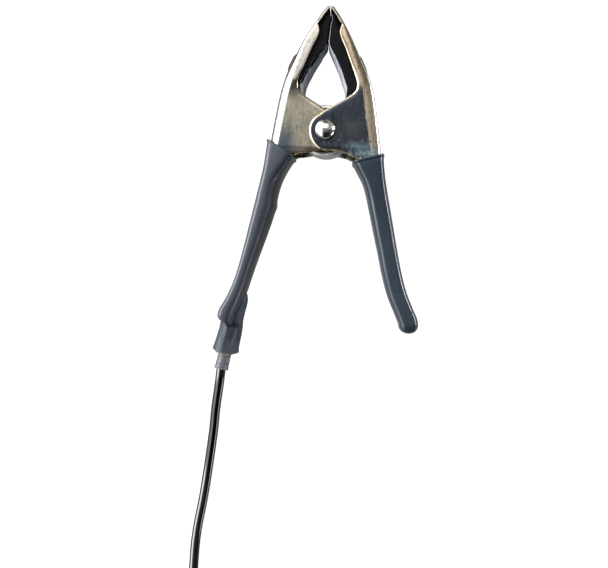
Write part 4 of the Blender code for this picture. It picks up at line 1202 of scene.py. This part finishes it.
def make_cable(look):
    data = bpy.data.curves.new("cable", "CURVE")
    data.dimensions = "3D"
    data.bevel_depth = CABLE / 2 * MM
    data.bevel_resolution = 10
    data.use_fill_caps = True
    spline = data.splines.new("POLY")
    path = cable_path()
    spline.points.add(len(path) - 1)
    for knot, point in zip(spline.points, path):
        knot.co = (point[0] * MM, point[1] * MM, point[2] * MM, 1.0)
    spline.use_smooth = True
    data.materials.append(look)
    obj = new_object("cable", data)
    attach(obj, LEFT)
    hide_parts("cable_run", "cable_coil", "cable_tail")


def carry_over(looks):
    """New materials on the CAD nodes whose own shape is right."""
    for name, look in looks.items():
        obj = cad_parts[name]
        for slot in obj.material_slots:
            slot.material = look


# ---------------------------------------------------------------- studio

def make_floor():
    """A plain pale floor: white to look at, and dimmer as a light on the clip."""
    bpy.ops.mesh.primitive_plane_add(size=FLOOR_SIZE_M, location=(0, 0, 0))
    floor = bpy.context.object
    floor.name = "floor"
    look = Look("pale_floor", 0.12, 0.9)
    look.set("Specular IOR Level", 0.0)
    look.set("Emission Color", (1.0, 1.0, 1.0, 1.0))
    path = look.add("ShaderNodeLightPath")
    level = look.span(path.outputs["Is Glossy Ray"], 0.0, 1.0, FLOOR_LIGHT, FLOOR_GLOSS, False)
    seen = look.times(path.outputs["Is Camera Ray"], FLOOR_SEEN)
    look.link(look.math("MAXIMUM", level, seen), look.shader.inputs["Emission Strength"])
    floor.data.materials.append(look.made)


def make_world():
    world = bpy.data.worlds.new("studio")
    bpy.context.scene.world = world
    world.use_nodes = True
    nodes = Nodes(world.node_tree, "Generated")
    ways = {name: nodes.axis(name) for name in "XYZ"}
    lights = [(colour, *((ways[name], start, end) for name, start, end in fades)) for colour, *fades in LIGHTS]
    nodes.link(nodes.layers(AMBIENT, lights), nodes.tree.nodes["Background"].inputs["Color"])


def make_soft_light():
    data = bpy.data.lights.new("left_soft", "AREA")
    data.shape = "RECTANGLE"
    data.size, data.size_y = (side * MM for side in SOFT_SIZE)
    data.energy = SOFT_WATTS
    obj = new_object("left_soft", data)
    obj.location = Vector(SOFT_PLACE) * MM
    obj.rotation_euler = (Vector(SOFT_PLACE) - Vector(SOFT_AIM)).to_track_quat("Z", "Y").to_euler()


place_camera()
make_cable(cable_look())
plates = {side: plated_look(SIDE_NAME[side] + "_plate", side) for side in (-1, 1)}
# The grips are one vinyl: the left one's darker tone is painted shade, and its given colour a painted lit side
# towards its outside
vinyl = {-1: grip_look("left_vinyl", 0.72, 0.30, (64, 69, 79)), 1: grip_look("right_vinyl", 0.98, 0.22)}
pads = (rubber_look(), pad_lit_face_look())
for side in (-1, 1):
    make_lever(side, plates[side])
    make_pad(side, pads)
    make_grip(side, vinyl[side])
bright = metal_look("bright_rivet", (206, 202, 194), (240, 237, 230), 0.19, 900.0, bump=0.02)
bush_steel = metal_look("bush_steel", (140, 138, 134), (188, 186, 180), 0.35)
make_pivot(bright, bush_steel)
make_spring(metal_look("spring_steel", (236, 234, 230), (252, 250, 248), 0.55, 700.0))
make_sleeve((sleeve_look(), liner_look()))
make_tube(tube_look())
black = plastic_look("plug_black", (26, 27, 30), 0.42)
tin = metal_look("tinned", (170, 168, 162), (216, 214, 208), 0.3, 600.0)
brass = metal_look("nickel_brass", (190, 180, 150), (228, 220, 196), 0.2, 600.0, bump=0.04)
copper = metal_look("copper", (150, 84, 56), (214, 132, 92), 0.35, 1400.0, (1.0, 0.2, 1.0), 0.4)
carry_over({
    "ring_terminal": tin,
    "terminal_rivet": metal_look("rivet_plain", (150, 148, 142), (196, 193, 186), 0.3, 700.0),
    "conductor_end": copper,
    "plug_conductor": copper,
    "inner_wire": plastic_look("inner_wire_black", (24, 24, 27), 0.35),
    "coil_tie": plastic_look("tie_black", (38, 38, 40), 0.6, 800.0),
    "plug_boot": plastic_look("boot_black", (24, 25, 28), 0.5),
    "plug_body": black,
    "plug_pin": brass,
    "plug_contact_spring": brass,
})
make_floor()
make_world()
bpy.context.scene.view_settings.view_transform = "Standard"
make_soft_light()
